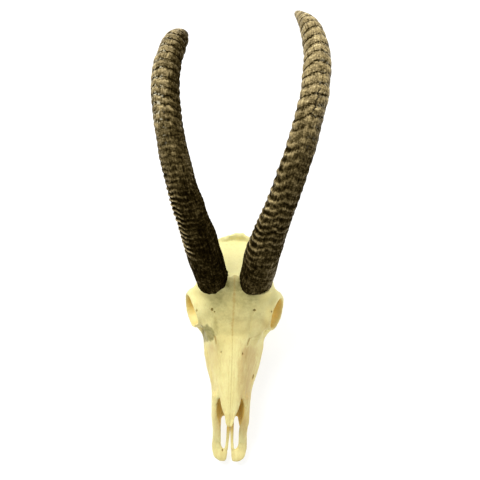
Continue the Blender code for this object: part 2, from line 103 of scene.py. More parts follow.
@dataclass(frozen=True)
class SkullFrame:
    """Millimetres on the skull: x from its midline, y from the nasal roots, z from the floor.

    Attributes:
        origin: where that frame's zero lies in the row frame, in metres.
    """

    origin: Vector

    @classmethod
    def measured(cls) -> "SkullFrame":
        """The frame that puts the hind end of the two nasal bones at NASAL_END."""
        low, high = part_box("nasal_right")[0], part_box("nasal_left")[1]
        return cls(Vector(((low.x + high.x) / 2, high.y - NASAL_END * MM, 0.0)))

    def to_mm(self, points: Array) -> Array:
        """Row frame metres as millimetres on the skull."""
        return (points - np.array(self.origin)) / MM

    def to_row(self, points: Array) -> Array:
        """Millimetres on the skull as row frame metres."""
        return np.asarray(points, float) * MM + np.array(self.origin)


SKULL = SkullFrame.measured()
LOW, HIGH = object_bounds()


def curve_through(rows: list, count: int) -> Array:
    """A Catmull-Rom curve through rows of numbers, read at even steps.

    Args:
        rows: the points that it passes.
        count: how many points are read.

    Returns:
        An array of count rows.
    """
    rows = np.asarray(rows, float)
    padded = np.vstack([2 * rows[0] - rows[1], rows, 2 * rows[-1] - rows[-2]])
    place = np.linspace(0, len(rows) - 1, count)
    step = np.minimum(place.astype(int), len(rows) - 2)
    t = (place - step)[:, None]
    a, b, c, d = (padded[step + k] for k in range(4))
    bend = (2 * a - 5 * b + 4 * c - d) * t**2
    return 0.5 * (2 * b + (c - a) * t + bend + (3 * b - a - 3 * c + d) * t**3)


def eased(values: tuple, count: int) -> Array:
    """A smooth curve through single numbers, read at even steps."""
    return curve_through([(value,) for value in values], count)[:, 0]


def read_rows(at: Array, places: Array, rows: Array) -> Array:
    """Rows of numbers that belong to rising places, read between those."""
    return np.stack([np.interp(at, places, column) for column in rows.T], -1)


def unit(rows: Array) -> Array:
    """Rows as vectors of length 1."""
    return rows / np.linalg.norm(rows, axis=1)[:, None]


def lumps(points: Array, size: float | tuple, seed: int) -> Array:
    """Smooth noise between -1 and 1.

    Args:
        points: where it is read.
        size: how far apart its lumps are, the same or one for each axis.
        seed: which noise it is.

    Returns:
        One number a point.
    """
    scaled = points / np.asarray(size, float)
    cell = np.floor(scaled).astype(np.int64)
    part = scaled - cell
    part = part * part * (3 - 2 * part)
    total = np.zeros(len(points))
    for corner in np.ndindex(2, 2, 2):
        at = (cell + corner).astype(np.uint64)
        code = at[:, 0] * np.uint64(73856093) ^ at[:, 1] * np.uint64(19349663)
        code ^= at[:, 2] * np.uint64(83492791) ^ np.uint64(seed * 2654435761 % 2**32)
        code = (code ^ (code >> np.uint64(13))) * np.uint64(1274126177)
        value = ((code ^ (code >> np.uint64(16))) & np.uint64(65535)).astype(float) / 32767.5 - 1
        total += np.prod(np.where(corner, part, 1 - part), axis=1) * value
    return total


def wander(points: Array, parts: tuple) -> Array:
    """Noise in two directions: the sum of parts, each a weight, a size and a seed."""
    ways = ([w * lumps(points, size, seed + k) for w, size, seed in parts] for k in (0, 1))
    return np.stack([sum(way) for way in ways], -1)


def off_centre(points: Array, centre: tuple, radii: Array | tuple) -> Array:
    """Squared distance of points from a centre, 1 at its radii."""
    return (((points - np.array(centre)) / np.array(radii)) ** 2).sum(1)


def blob(points: Array, centre: tuple, radii: tuple) -> Array:
    """A soft spot: 1 at its centre, fading to nothing past its radii."""
    return np.exp(-off_centre(points, centre, radii))


def bell(value: Array, width: float) -> Array:
    """1 where a value is nothing, fading to nothing past the width."""
    return np.exp(-((value / width) ** 2))


def ramp(value: Array, low: float, high: float) -> Array:
    """Rises smoothly from 0 at low to 1 at high."""
    t = np.clip((value - low) / (high - low), 0, 1)
    return t * t * (3 - 2 * t)


def fall(value: Array, low: float, high: float) -> Array:
    """Falls smoothly from 1 at low to 0 at high."""
    return ramp(-value, -high, -low)


def new_object(name: str, bm: BMesh) -> Object:
    """Puts a bmesh into the scene as an object, and frees it.

    Args:
        name: the object's name.
        bm: its mesh.

    Returns:
        The object.
    """
    mesh = bpy.data.meshes.new(name)
    bm.to_mesh(mesh)
    bm.free()
    made = bpy.data.objects.new(name, mesh)
    bpy.context.scene.collection.objects.link(made)
    return made


@contextmanager
def editing(obj: Object) -> Iterator[BMesh]:
    """An object's mesh as a bmesh, which is put back afterwards.

    Args:
        obj: the object.

    Yields:
        The bmesh.
    """
    bm = bmesh.new()
    bm.from_mesh(obj.data)
    yield bm
    bm.to_mesh(obj.data)
    bm.free()


def settled(obj: Object) -> Object:
    """Replaces an object's mesh by what its modifiers make of it.

    Args:
        obj: the object.

    Returns:
        The same object, without modifiers.
    """
    graph = bpy.context.evaluated_depsgraph_get()
    mesh = bpy.data.meshes.new_from_object(obj.evaluated_get(graph))
    obj.modifiers.clear()
    obj.data = mesh
    return obj


def combined(obj: Object, other: Object, operation: str) -> Object:
    """Applies a Boolean with a second closed object, which is then removed.

    Args:
        obj: the object that changes.
        other: the object that it is cut or trimmed by.
        operation: DIFFERENCE or INTERSECT.

    Returns:
        The changed object.
    """
    cut = obj.modifiers.new("cut", "BOOLEAN")
    cut.operation, cut.solver, cut.object = operation, "MANIFOLD", other
    settled(obj)
    bpy.data.objects.remove(other)
    return obj


def vectors(items: bpy.types.bpy_prop_collection, key: str) -> Array:
    """A vector of each of a mesh's items, such as the co of its vertices.

    Args:
        items: its vertices or their normals.
        key: the vector's name.

    Returns:
        One row an item.
    """
    flat = np.empty(len(items) * 3, np.float32)
    items.foreach_get(key, flat)
    return flat.reshape(-1, 3).astype(float)


def put_positions(mesh: bpy.types.Mesh, points: Array) -> None:
    """Moves a mesh's vertices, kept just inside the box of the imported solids.

    Args:
        mesh: the mesh.
        points: where they go, in the row frame.
    """
    edge = 0.00005
    inside = np.clip(points, np.array(LOW) + edge, np.array(HIGH) - edge)
    mesh.vertices.foreach_set("co", inside.astype(np.float32).ravel())
    mesh.update()


def round_grid(around: int, along: int) -> tuple[BMesh, Array, Array]:
    """A grid to wrap round a line.

    Args:
        around: its faces round the line.
        along: its faces along the line.

    Returns:
        The grid, and how far round and along the line each of its points goes, from 0 to 1.
    """
    bm = bmesh.new()
    bmesh.ops.create_grid(bm, x_segments=around, y_segments=along, size=0.5)
    share = np.array([v.co for v in bm.verts]) + 0.5
    return bm, share[:, 0], share[:, 1]


def wrapped(name: str, bm: BMesh, points: Array, marks: dict[str, Array]) -> Object:
    """Makes a closed piece of a grid that is wrapped round a line.

    Args:
        name: the piece's name.
        bm: the grid.
        points: where its points go, on the skull.
        marks: numbers and vectors that the material reads.

    Returns:
        The piece.
    """
    for vert, point in zip(bm.verts, SKULL.to_row(points)):
        vert.co = point
    for key, values in marks.items():
        layers = bm.verts.layers.float if values.ndim == 1 else bm.verts.layers.float_vector
        layer = layers.new(key)
        for vert, value in zip(bm.verts, values):
            vert[layer] = value
    bmesh.ops.remove_doubles(bm, verts=bm.verts, dist=WELD)
    bmesh.ops.holes_fill(bm, edges=[e for e in bm.edges if e.is_boundary], sides=0)
    bmesh.ops.recalc_face_normals(bm, faces=bm.faces)
    made = new_object(name, bm)
    put_positions(made.data, vectors(made.data.vertices, "co"))
    return made


def finished(obj: Object, slot: str, material: bpy.types.Material, *nodes: str) -> None:
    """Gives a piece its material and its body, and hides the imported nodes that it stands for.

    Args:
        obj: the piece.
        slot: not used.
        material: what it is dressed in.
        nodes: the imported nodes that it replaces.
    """
    obj.data.materials.clear()
    obj.data.materials.append(material)
    obj.data.shade_smooth()
    obj.data.set_sharp_from_angle(angle=math.radians(SHARP_DEGREES))
    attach(obj, BODY)
    if nodes:
        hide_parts(*nodes)
    LOG.info("%s: %d faces", obj.name, len(obj.data.polygons))


class NodeTree:
    """A short way to write a material's nodes."""

    def __init__(self, name: str) -> None:
        """Starts a material.

        Args:
            name: the material's name.
        """
        self.material = bpy.data.materials.new(name)
        self.material.use_nodes = True
        self.tree = self.material.node_tree
        self.shader = self.tree.nodes["Principled BSDF"]

    def join(self, socket: bpy.types.NodeSocket, value: object) -> None:
        """Links an output to a socket, or sets its value, where a colour goes without alpha.

        Args:
            socket: an input.
            value: an output, a number, a vector, or a colour of three numbers.
        """
        if isinstance(value, bpy.types.NodeSocket):
            self.tree.links.new(value, socket)
        else:
            socket.default_value = (*value, 1) if socket.type == "RGBA" else value

    def fill(self, node: bpy.types.Node, **inputs: object) -> bpy.types.Node:
        """Sets a node's sockets by their names, with _ for spaces, or its properties.

        Args:
            node: the node.
            inputs: values or outputs. A name that starts with a small letter is a property.

        Returns:
            The node.
        """
        for key, value in inputs.items():
            if key[0].isupper():
                self.join(node.inputs[key.replace("_", " ")], value)
            else:
                setattr(node, key, value)
        return node

    def add(self, kind: str, **inputs: object) -> bpy.types.Node:
        """Adds a node of a type, named without ShaderNode, and fills it."""
        return self.fill(self.tree.nodes.new(f"ShaderNode{kind}"), **inputs)

    def dressed(self, **inputs: object) -> bpy.types.Material:
        """Fills the shader, and hands over the material."""
        self.fill(self.shader, **inputs)
        return self.material

    def noise(self, where: object, scale: float, detail: float = 3.0, rough: float = 0.55) -> object:
        """Noise between 0 and 1 at a scale, in lumps a metre."""
        made = self.add("TexNoise", Vector=where, Scale=scale, Detail=detail, Roughness=rough)
        return made.outputs["Factor" if "Factor" in made.outputs else "Fac"]

    def stretched(self, where: object, *scale: float) -> object:
        """Coordinates multiplied by a number for each axis."""
        return self.add("Mapping", Vector=where, Scale=scale).outputs["Vector"]

    def attribute(self, name: str, output: str = "Fac") -> object:
        """A number or vector that is stored on the mesh."""
        return self.add("Attribute", attribute_name=name).outputs[output]

    def step(self, value: object, low: float, high: float, start: float = 0, end: float = 1) -> object:
        """Maps a number's range from low to high onto start to end, and stops there."""
        ends = {"From_Min": low, "From_Max": high, "To_Min": start, "To_Max": end}
        return self.add("MapRange", clamp=True, Value=value, **ends).outputs["Result"]

    def math(self, operation: str, first: object, second: object) -> object:
        """One sum of two numbers.

        Args:
            operation: such as ADD or MULTIPLY.
            first: a number or an output.
            second: another.

        Returns:
            The output.
        """
        node = self.add("Math", operation=operation)
        self.join(node.inputs[0], first)
        self.join(node.inputs[1], second)
        return node.outputs[0]

    def mix(self, share: object, first: object, second: object) -> object:
        """Two colours mixed by a share.

        Args:
            share: how much of the second.
            first: a colour or an output.
            second: another.

        Returns:
            The output.
        """
        node = self.add("Mix", data_type="RGBA")
        for socket, value in zip((0, 6, 7), (share, first, second)):
            self.join(node.inputs[socket], value)
        return node.outputs[2]

    def bump(self, height: object, distance: float, strength: float, **under: object) -> object:
        """A bumped normal, over another where Normal is given."""
        node = self.add("Bump", Height=height, Distance=distance, Strength=strength, **under)
        return node.outputs["Normal"]


@dataclass(frozen=True)
class BoneFinish:
    """Cleaned, slightly greasy bone: cream, with stains and painted light and shade that the carving marks
    on the mesh.
    """

    cream: tuple = (0.81, 0.70, 0.275)
    pale: tuple = (0.92, 0.85, 0.385)
    tan: tuple = (0.64, 0.45, 0.17)
    olive_stain_and_shade: tuple = (0.27, 0.24, 0.065)
    ochre: tuple = (0.81, 0.545, 0.11)
    seam: tuple = (0.50, 0.34, 0.09)
    recess_shade: tuple = (0.29, 0.16, 0.03)
    roughness: float = 0.52
    streaks: float = 0.35

    def material(self) -> bpy.types.Material:
        """Builds the bone's nodes.

        Returns:
            The material.
        """
        net = NodeTree("bone")
        place = net.add("TexCoord").outputs["Object"]
        grain = net.stretched(place, 1.0, 0.05, 1.0)
        lines = net.noise(grain, 700, 3, 0.6)
        broad_lines = net.step(net.noise(grain, 210, 3, 0.6), 0.44, 0.60)
        spots = net.step(net.noise(place, 300, 4, 0.7), 0.52, 0.70, 0.0, 0.42)
        cloud = net.step(net.noise(place, 110, 4, 0.65), 0.36, 0.62, 0.6, 1.0)
        colour = net.mix(net.step(net.noise(place, 26, 3), 0.35, 0.68), self.cream, self.pale)
        layers = [
            (net.step(net.noise(place, 60, 3, 0.6), 0.50, 0.75, 0.0, 0.25), self.tan),
            (net.math("MULTIPLY", net.attribute("streak"), broad_lines), self.tan),
            (net.step(lines, 0.50, 0.70, 0.0, self.streaks), self.tan),
            (net.step(net.noise(place, 620, 2, 0.5), 0.66, 0.80, 0.0, 0.20), self.tan),
            # Paler where marked: painted light where the lamps reach the bone poorly, and the nasal bones'
            # own paler tone.
            (net.attribute("pale_and_lit"), self.pale),
            (net.math("MULTIPLY", spots, net.attribute("porous")), self.tan),
        ]
        # The olive and tan marks are partly stains, partly painted shade.
        for name in ("olive_stain_and_shade", "tan", "ochre", "seam"):
            layers.append((net.math("MULTIPLY", net.attribute(name), cloud), getattr(self, name)))
        # The last layer darkens holes and gaps: painted shade.
        for share, stain in [*layers, (net.attribute("recess_shade"), self.recess_shade)]:
            colour = net.mix(share, colour, stain)
        rough = (self.roughness - 0.1, self.roughness + 0.12)
        pits = net.add("TexVoronoi", Vector=place, Scale=560.0).outputs["Distance"]
        porous = net.math("MULTIPLY", net.step(pits, 0.0, 0.42, 1.0, 0.0), net.attribute("porous"))
        normal = net.bump(net.noise(place, 380, 4, 0.6), 0.0006, 0.35)
        normal = net.bump(lines, 0.0004, 0.30, Normal=normal)
        normal = net.bump(net.math("SUBTRACT", 1.0, porous), 0.0007, 0.8, Normal=normal)
        return net.dressed(
            Base_Color=colour,
            Roughness=net.step(net.noise(place, 210, 3), 0.3, 0.7, *rough),
            Normal=normal,
            Subsurface_Weight=0.05,
            Subsurface_Scale=0.003,
            Subsurface_Radius=(1.0, 0.7, 0.4),
            Specular_IOR_Level=0.35,
        )


@dataclass(frozen=True)
class HornFinish:
    """Horn sheath, from black through olive brown and gold to a pale crest, worn and partly painted light.

    Attributes:
        tones: a place between 0 and 1, and the colour there.
        cleft: the colour inside a crack, near black as painted shade.
        flake_glint: the colour of the grey flecks between the rings: dry flakes with painted glints.
    """

    tones: tuple = (
        (0.0, (0.004, 0.0024, 0.0004)),
        (0.18, (0.021, 0.0142, 0.0038)),
        (0.42, (0.100, 0.073, 0.026)),
        (0.68, (0.310, 0.230, 0.095)),
        (0.88, (0.560, 0.440, 0.190)),
        (1.0, (0.820, 0.740, 0.500)),
    )
    cleft: tuple = (0.004, 0.003, 0.002)
    flake_glint: tuple = (0.62, 0.565, 0.39)

    def material(self) -> bpy.types.Material:
        """Builds the horn's nodes from the paleness that the horn's making stores.

        Returns:
            The material.
        """
        net = NodeTree("horn")
        fibre = net.attribute("fibre", "Vector")
        strands = net.noise(net.stretched(fibre, 1.0, 1.0, 0.09), 620, 4, 0.65)
        flakes = net.noise(net.stretched(fibre, 1.0, 1.0, 0.55), 380, 5, 0.75)
        lines = net.noise(net.stretched(fibre, 0.12, 0.12, 1.0), 560, 4, 0.7)
        grain = net.math("ADD", net.math("MULTIPLY", flakes, 0.76), net.math("MULTIPLY", strands, 0.30))
        grain = net.math("ADD", grain, net.math("MULTIPLY", lines, 0.34))
        pale = net.math("ADD", net.attribute("pale"), net.step(grain, 0.52, 0.88, -0.25, 0.25))
        tones = net.add("ValToRGB", Fac=pale)
        stops = tones.color_ramp.elements
        while len(stops) < len(self.tones):
            stops.new(1.0)
        for stop, (place, colour) in zip(stops, self.tones):
            stop.position, stop.color = place, (*colour, 1)
        # Pale grey flecks between the rings: dry flakes with painted glints.
        colour = net.mix(net.attribute("flake_glint"), tones.outputs["Color"], self.flake_glint)
        normal = net.bump(strands, 0.0010, 0.6)
        normal = net.bump(flakes, 0.0012, 0.6, Normal=normal)
        return net.dressed(
            # Near black inside the crack: painted shade.
            Base_Color=net.mix(net.attribute("cleft"), colour, self.cleft),
            Roughness=net.step(flakes, 0.3, 0.7, 0.38, 0.62),
            Specular_IOR_Level=net.step(pale, 0.3, 0.95, 0.0, 0.40),
            Normal=net.bump(lines, 0.0007, 0.5, Normal=normal),
        )


@dataclass(frozen=True)
class ToothFinish:
    """Worn cheek teeth: ivory enamel with brown stain in the grooves, and dark dentine inside."""

    enamel: tuple = (0.86, 0.74, 0.37)
    stain: tuple = (0.22, 0.12, 0.035)

    def material(self) -> bpy.types.Material:
        """Builds the teeth's nodes.

        Returns:
            The material.
        """
        net = NodeTree("tooth")
        place = net.stretched(net.add("TexCoord").outputs["Object"], 1.0, 1.0, 0.35)
        spots = net.noise(place, 480, 4, 0.65)
        colour = net.mix(net.step(spots, 0.5, 0.7, 0.0, 0.35), self.enamel, self.stain)
        return net.dressed(
            Base_Color=net.mix(net.attribute("stain"), colour, self.stain),
            Roughness=net.step(spots, 0.3, 0.7, 0.22, 0.5),
            Normal=net.bump(spots, 0.0004, 0.4),
        )


@dataclass(frozen=True)
class Groove:
    """A thin line cut in the bone, such as a suture or the bed of a vessel.

    Attributes:
        path: its points, in the two axes of its facing.
        width: how wide it is.
        depth: how deep it is.
        waver: how far it strays to each side.
        stain: how strongly the seam's colour marks it.
        facing: the side of the skull that it is drawn on.
        lean: how far the bone has to face that way, from 0 to 1.
        mirrored: whether one that is drawn from above is on both sides.
    """

    path: tuple
    width: float
    depth: float
    waver: float
    stain: float
    facing: Facing = Facing.TOP
    lean: float = 0.25
    mirrored: bool = False

    def distance(self, points: Array, facing: Array, stray: Array) -> Array:
        """How far each point is from the line.

        Args:
            points: points on the skull.
            facing: their normals.
            stray: how far the lines stray at each point, for a waver of 1.

        Returns:
            Millimetres, far where the bone faces another way.
        """
        u, v, out = self.facing.value
        flat, away = points[:, (u, v)].copy(), facing[:, out]
        if self.mirrored:
            flat[:, 0] = np.abs(flat[:, 0])
        if self.facing is Facing.SIDE:
            away = away * np.sign(points[:, 0])
        flat += stray * self.waver
        best = np.full(len(points), FAR)
        path = np.array(self.path, float)
        for start, run in zip(path, np.diff(path, axis=0)):
            t = np.clip((flat - start) @ run / (run @ run), 0, 1)
            best = np.minimum(best, np.linalg.norm(flat - start - t[:, None] * run, axis=1))
        best[away < self.lean] = FAR
        return best


@dataclass(frozen=True)
class Opening:
    """A small hole in the bone: its centre, radii, depth, and how strongly it is darkened as painted
    shade.
    """

    centre: tuple
    radii: tuple
    depth: float
    dark: float = 0.95


@dataclass(frozen=True)
class Stain:
    """A soft coloured spot on the bone: the mark that it sets, its centre, radii and strength."""

    mark: str
    centre: tuple
    radii: tuple
    strength: float


@dataclass(frozen=True)
class Patch:
    """A coloured area with a clear edge, seen from above, for stains and painted shade.

    Attributes:
        mark: the mark that it sets.
        corners: its corners in x and y, counterclockwise and bulging outwards everywhere.
        strength: how strong it is.
        edge: how wide its edge is.
        heights: z that it fades in between.
    """

    mark: str
    corners: tuple
    strength: float
    edge: float
    heights: tuple = (42, 62)

    def share(self, points: Array) -> Array:
        """How strongly each point is stained.

        Args:
            points: points on the skull.

        Returns:
            One number a point.
        """
        flat = points[:, :2] + 1.6 * wander(points, ((1, 5, 61),))
        inside = np.full(len(points), FAR)
        corners = np.array(self.corners, float)
        for start, end in zip(corners, np.roll(corners, -1, axis=0)):
            run = (end - start) / np.linalg.norm(end - start)
            off = flat - start
            inside = np.minimum(inside, run[0] * off[:, 1] - run[1] * off[:, 0])
        return self.strength * ramp(inside, -self.edge, self.edge) * ramp(points[:, 2], *self.heights)


@dataclass(frozen=True)
class Tube:
    """A soft rod that bone is added or cut away in.

    Attributes:
        rows: x as if on the left, y, z and radius of its points.
        sides: the sides that it is on.
    """

    rows: tuple
    sides: tuple = tuple(Side)

    def balls(self, bm: BMesh) -> Array:
        """Adds the rod to a mesh as a row of overlapping balls.

        Args:
            bm: the mesh.

        Returns:
            Centre and radius of each ball, in millimetres on the skull.
        """
        found = []
        rows = np.array(self.rows, float)
        length = np.linalg.norm(np.diff(rows[:, :3], axis=0), axis=1).sum()
        for x, y, z, radius in curve_through(self.rows, 2 + int(length / (0.3 * rows[:, 3].min()))):
            for side in self.sides:
                place = Matrix.Translation(Vector(SKULL.to_row((side.value * x, y, z))))
                detail = 3 if radius > 4 else 2
                bmesh.ops.create_icosphere(bm, subdivisions=detail, radius=radius * MM, matrix=place)
                found.append((side.value * x, y, z, radius))
        return np.array(found)


GROOVES = (
    # Sutures between the bones.
    Groove(((0.3, 97), (0.2, 68)), 1.8, 0.3, 1.4, 0.8),
    Groove(((0.2, 68), (0.2, 50), (-0.9, 34), (-1.0, 19)), 2.1, 0.3, 1.4, 0.9),
    Groove(((-1.0, 19), (-0.9, 3)), 1.4, 0.4, 1.0, 1.0),
    Groove(((-0.6, 0), (0.4, -40), (0.5, -90), (0.2, -140)), 0.9, 0.15, 0.4, 0.45),
    Groove(((-4.0, -30), (-4.4, -70), (-2.6, -120)), 0.8, 0.1, 0.5, 0.36),
    Groove(((4.6, -40), (5.0, -80), (3.4, -118)), 0.8, 0.1, 0.5, 0.36),
    Groove(((10.8, -20), (12.6, -60), (13.4, -92)), 1.2, 0.15, 0.5, 0.25),
    Groove(((24, -20), (25, -50), (22, -88)), 1.6, 0.2, 0.8, 0.20),
    Groove(((29, 0), (38, 5), (49, 13), (57, 25)), 0.8, 0.25, 0.8, 0.35, mirrored=True),
    Groove(((-2, 103), (6, 84), (12, 64)), 0.9, 0.3, 1.0, 0.35, Facing.SIDE),
    Groove(((22, 74), (14, 66), (8, 56), (16, 46), (34, 44)), 0.9, 0.3, 1.0, 0.35, Facing.SIDE),
    Groove(((78, 70), (88, 64), (98, 60)), 0.9, 0.35, 0.8, 0.4, Facing.SIDE),
    Groove(((98, 100), (112, 106), (132, 104), (150, 92)), 0.9, 0.35, 1.4, 0.4, Facing.SIDE),
    # Beds of vessels.
    Groove(((-30.2, 1.5), (-29.0, -3.5), (-27.2, -9.5)), 1.5, 1.0, 0.5, 1.0, lean=0.1),
    Groove(((28.6, 0.5), (26.6, -5.0), (24.6, -10.5)), 1.5, 1.1, 0.4, 1.0, lean=0.1),
    Groove(((-36.6, 43), (-31, 35), (-30, 24), (-28.6, 8)), 3.2, 0.7, 0.3, 0.12),
    Groove(((35.1, 44.5), (30.4, 36), (29, 25), (28.4, 10)), 3.2, 0.7, 0.3, 0.12),
)
OPENINGS = (
    Opening((-36.6, 43.2, 127.5), (1.9, 2.6, 3.0), 4.5),
    Opening((-32.0, 39.5, 126.5), (1.0, 1.3, 2.4), 2.5, 0.6),
    Opening((35.1, 44.6, 128.2), (2.3, 1.7, 3.0), 4.0),
    Opening((-62.8, 41.8, 122.1), (1.3, 2.0, 3.0), 2.6),
    Opening((63.9, 44.8, 122.8), (1.1, 1.6, 3.0), 2.2),
    Opening((-18.6, -24.2, 103.4), (1.1, 2.0, 3.0), 1.6, 0.35),
    Opening((17.6, -25.5, 103.4), (1.2, 2.2, 3.0), 1.8, 0.5),
    Opening((-38.4, -56.4, 50.1), (2.8, 4.2, 3.4), 7.5, 1.0),
    Opening((36.8, -56.3, 56.9), (3.0, 4.2, 3.4), 7.5, 1.0),
    Opening((-11.7, -177.6, 18.9), (1.4, 2.4, 2.4), 1.0, 1.0),
)
PATCHES = (
    Patch("olive_stain_and_shade", ((-56, 1), (-35.5, -5), (-30.5, 0.7), (-33, 11.4), (-44.7, 20.5), (-56, 21)), 1.0, 1.5),
    Patch("olive_stain_and_shade", ((-30, 2), (-24, 6), (-27, 24), (-36, 26), (-38, 12)), 0.35, 2.0),
    # Tan beside the nasal bones on the skull's left: partly the bone's tone, partly painted shade away
    # from the key light.
    Patch("tan", ((12.5, -96), (40, -96), (40, -12), (21, -12), (10, -40)), 0.60, 3.5),
    # Painted shade in the saddle between the horns, in the olive colour.
    Patch("olive_stain_and_shade", ((-14, 72), (15, 74), (18, 94), (3, 103), (-7, 100), (-15, 90)), 0.52, 1.6),
    Patch("olive_stain_and_shade", ((-50, 28), (50, 28), (44, 76), (-44, 76)), 0.48, 9.0),
    Patch("olive_stain_and_shade", ((-28, 5), (30, 5), (34, 32), (-34, 32)), 0.38, 6.0),
)
ADDED = (
    # On both sides: the horns' feet, the muzzle's bars and rods, and the tips of the nasal bones.
    Tube(((35.0, 80.8, 113.0, 30.0), (42.0, 84.0, 112.5, 27.0))),
    Tube(((21.0, -84, 75.0, 3.6), (22.3, -94, 71.5, 3.2), (24.6, -105, 64.5, 1.8))),
    Tube(((21.8, -128, 50, 2.8), (19.4, -140, 43, 3.4), (18.6, -150, 36, 3.6), (18.2, -162, 26.5, 3.0))),
    Tube(
        ((4.2, -124, 23, 2.0), (4.4, -138, 21.5, 2.0), (4.4, -150, 20.6, 2.1), (4.8, -164, 19, 2.2))
        + ((6, -175, 17.5, 2.6),)
    ),
    Tube(((7.4, -121, 74.6, 1.8), (6.4, -129, 72.2, 1.8), (5.2, -136, 70.4, 1.7), (3.0, -141, 69.2, 1.5))),
    Tube(((1.5, -124, 21.5, 1.9), (1.5, -134, 21.0, 1.9), (1.7, -143, 20.6, 1.8))),
    # On one side: the root of a rod, the facial ridge, and the flanks of the bars.
    Tube(((16.0, -110, 22, 5.0), (15.4, -119, 22, 4.0), (17.6, -136, 22, 2.4)), (Side.LEFT,)),
    Tube(
        ((44, -2, 60, 5.0), (43.4, -17, 57, 7.5), (39.3, -31, 57, 7.0), (35.0, -46, 58, 6.0))
        + ((31.8, -60, 58, 6.2), (28.8, -73, 57, 5.0), (26.5, -84, 56, 3.6)),
        (Side.RIGHT,),
    ),
    Tube(
        ((24.6, -100, 60, 3.0), (26.4, -118, 55, 3.4), (26.5, -133, 46.5, 3.4), (24.6, -149, 37, 2.4)),
        (Side.RIGHT,),
    ),
    Tube(
        ((28.0, -102, 56, 3.0), (28.7, -117, 52, 4.0), (28.7, -130, 47, 4.3), (26.8, -145, 38, 3.0)),
        (Side.LEFT,),
    ),
)
REMOVED = (
    # The upper front edge of the right eye socket.
    Tube(
        ((76.5, 50, 119, 7), (73.6, 44, 118, 7), (69.8, 37, 115.5, 7), (67.0, 31, 110, 7))
        + ((66.4, 27.4, 104, 7),),
        (Side.RIGHT,),
    ),
)
STAINS = (
    # Painted shade, in dark brown, in the gap between the muzzle's rods and in the beds of vessels on the
    # forehead.
    Stain("recess_shade", (0, -137, 23), (1.2, 9, 7), 0.75),
    Stain("recess_shade", (-28.7, -4.5, 106), (1.4, 5, 8), 0.55),
    Stain("recess_shade", (26.6, -5.0, 106), (1.3, 5, 8), 0.35),
    Stain("ochre", (0, -136, 22), (5, 12, 8), 0.5),
    Stain("ochre", (40, -30, 60), (16, 40, 30), 0.12),
    Stain("ochre", (-37.5, -60, 50), (4, 8, 6), 0.55),
    Stain("ochre", (35.5, -61, 57), (4, 9, 6), 0.55),
    Stain("ochre", (0, 40, 20), (60, 60, 26), 0.25),
    # Tan: stains, and on the skull's left, which turns from the key light, partly painted shade.
    Stain("tan", (-22, -126, 46), (6, 24, 14), 0.55),
    Stain("tan", (23, -130, 46), (7, 30, 20), 0.60),
    Stain("tan", (-44, -30, 60), (14, 30, 30), 0.35),
    Stain("tan", (-37, -15, 86), (9, 7, 12), 0.75),
    Stain("tan", (14, 26, 120), (24, 24, 20), 0.25),
    Stain("tan", (54, 30, 108), (10, 14, 16), 0.35),
    Stain("tan", (-18.0, -136, 38), (4.5, 18, 14), 0.55),
    Stain("tan", (21, -20, 100), (4, 7, 8), 0.40),
    Stain("tan", (-26, -16, 98), (4, 6, 8), 0.35),
    Stain("tan", (30, -124, 50), (6, 26, 12), 0.40),
    # Olive beside the horns, partly stain and partly painted shade; in the saddle between them painted
    # shade; stains by the lacrimal bones.
    Stain("olive_stain_and_shade", (-24, 62, 134), (19, 17, 30), 0.30),
    Stain("olive_stain_and_shade", (21, 64, 136), (17, 15, 30), 0.28),
    Stain("olive_stain_and_shade", (-14, 84, 145), (9, 9, 14), 0.55),
    Stain("olive_stain_and_shade", (13, 84, 145), (8, 8, 14), 0.35),
    Stain("olive_stain_and_shade", (-24, -12, 103), (8, 12, 12), 0.30),
    Stain("olive_stain_and_shade", (46, 8, 92), (9, 10, 12), 0.28),
    Stain("seam", (23, -30, 99), (1.6, 4, 6), 0.35),
    # Paler: painted light on the muzzle's bars, the front of the crest and both brows, and the nasal
    # bones' own paler tone.
    Stain("pale_and_lit", (-18.5, -162, 28), (6, 14, 14), 0.7),
    Stain("pale_and_lit", (19.0, -156, 32), (6, 20, 14), 0.9),
    Stain("pale_and_lit", (-26, -135, 46), (7, 26, 16), 0.45),
    Stain("pale_and_lit", (0, 179, 102), (32, 9, 9), 0.9),
    Stain("pale_and_lit", (-62, 66, 118), (22, 22, 20), 0.35),
    Stain("pale_and_lit", (66, 66, 118), (18, 20, 18), 0.8),
    Stain("pale_and_lit", (0, -70, 92), (20, 60, 20), 0.35),
)


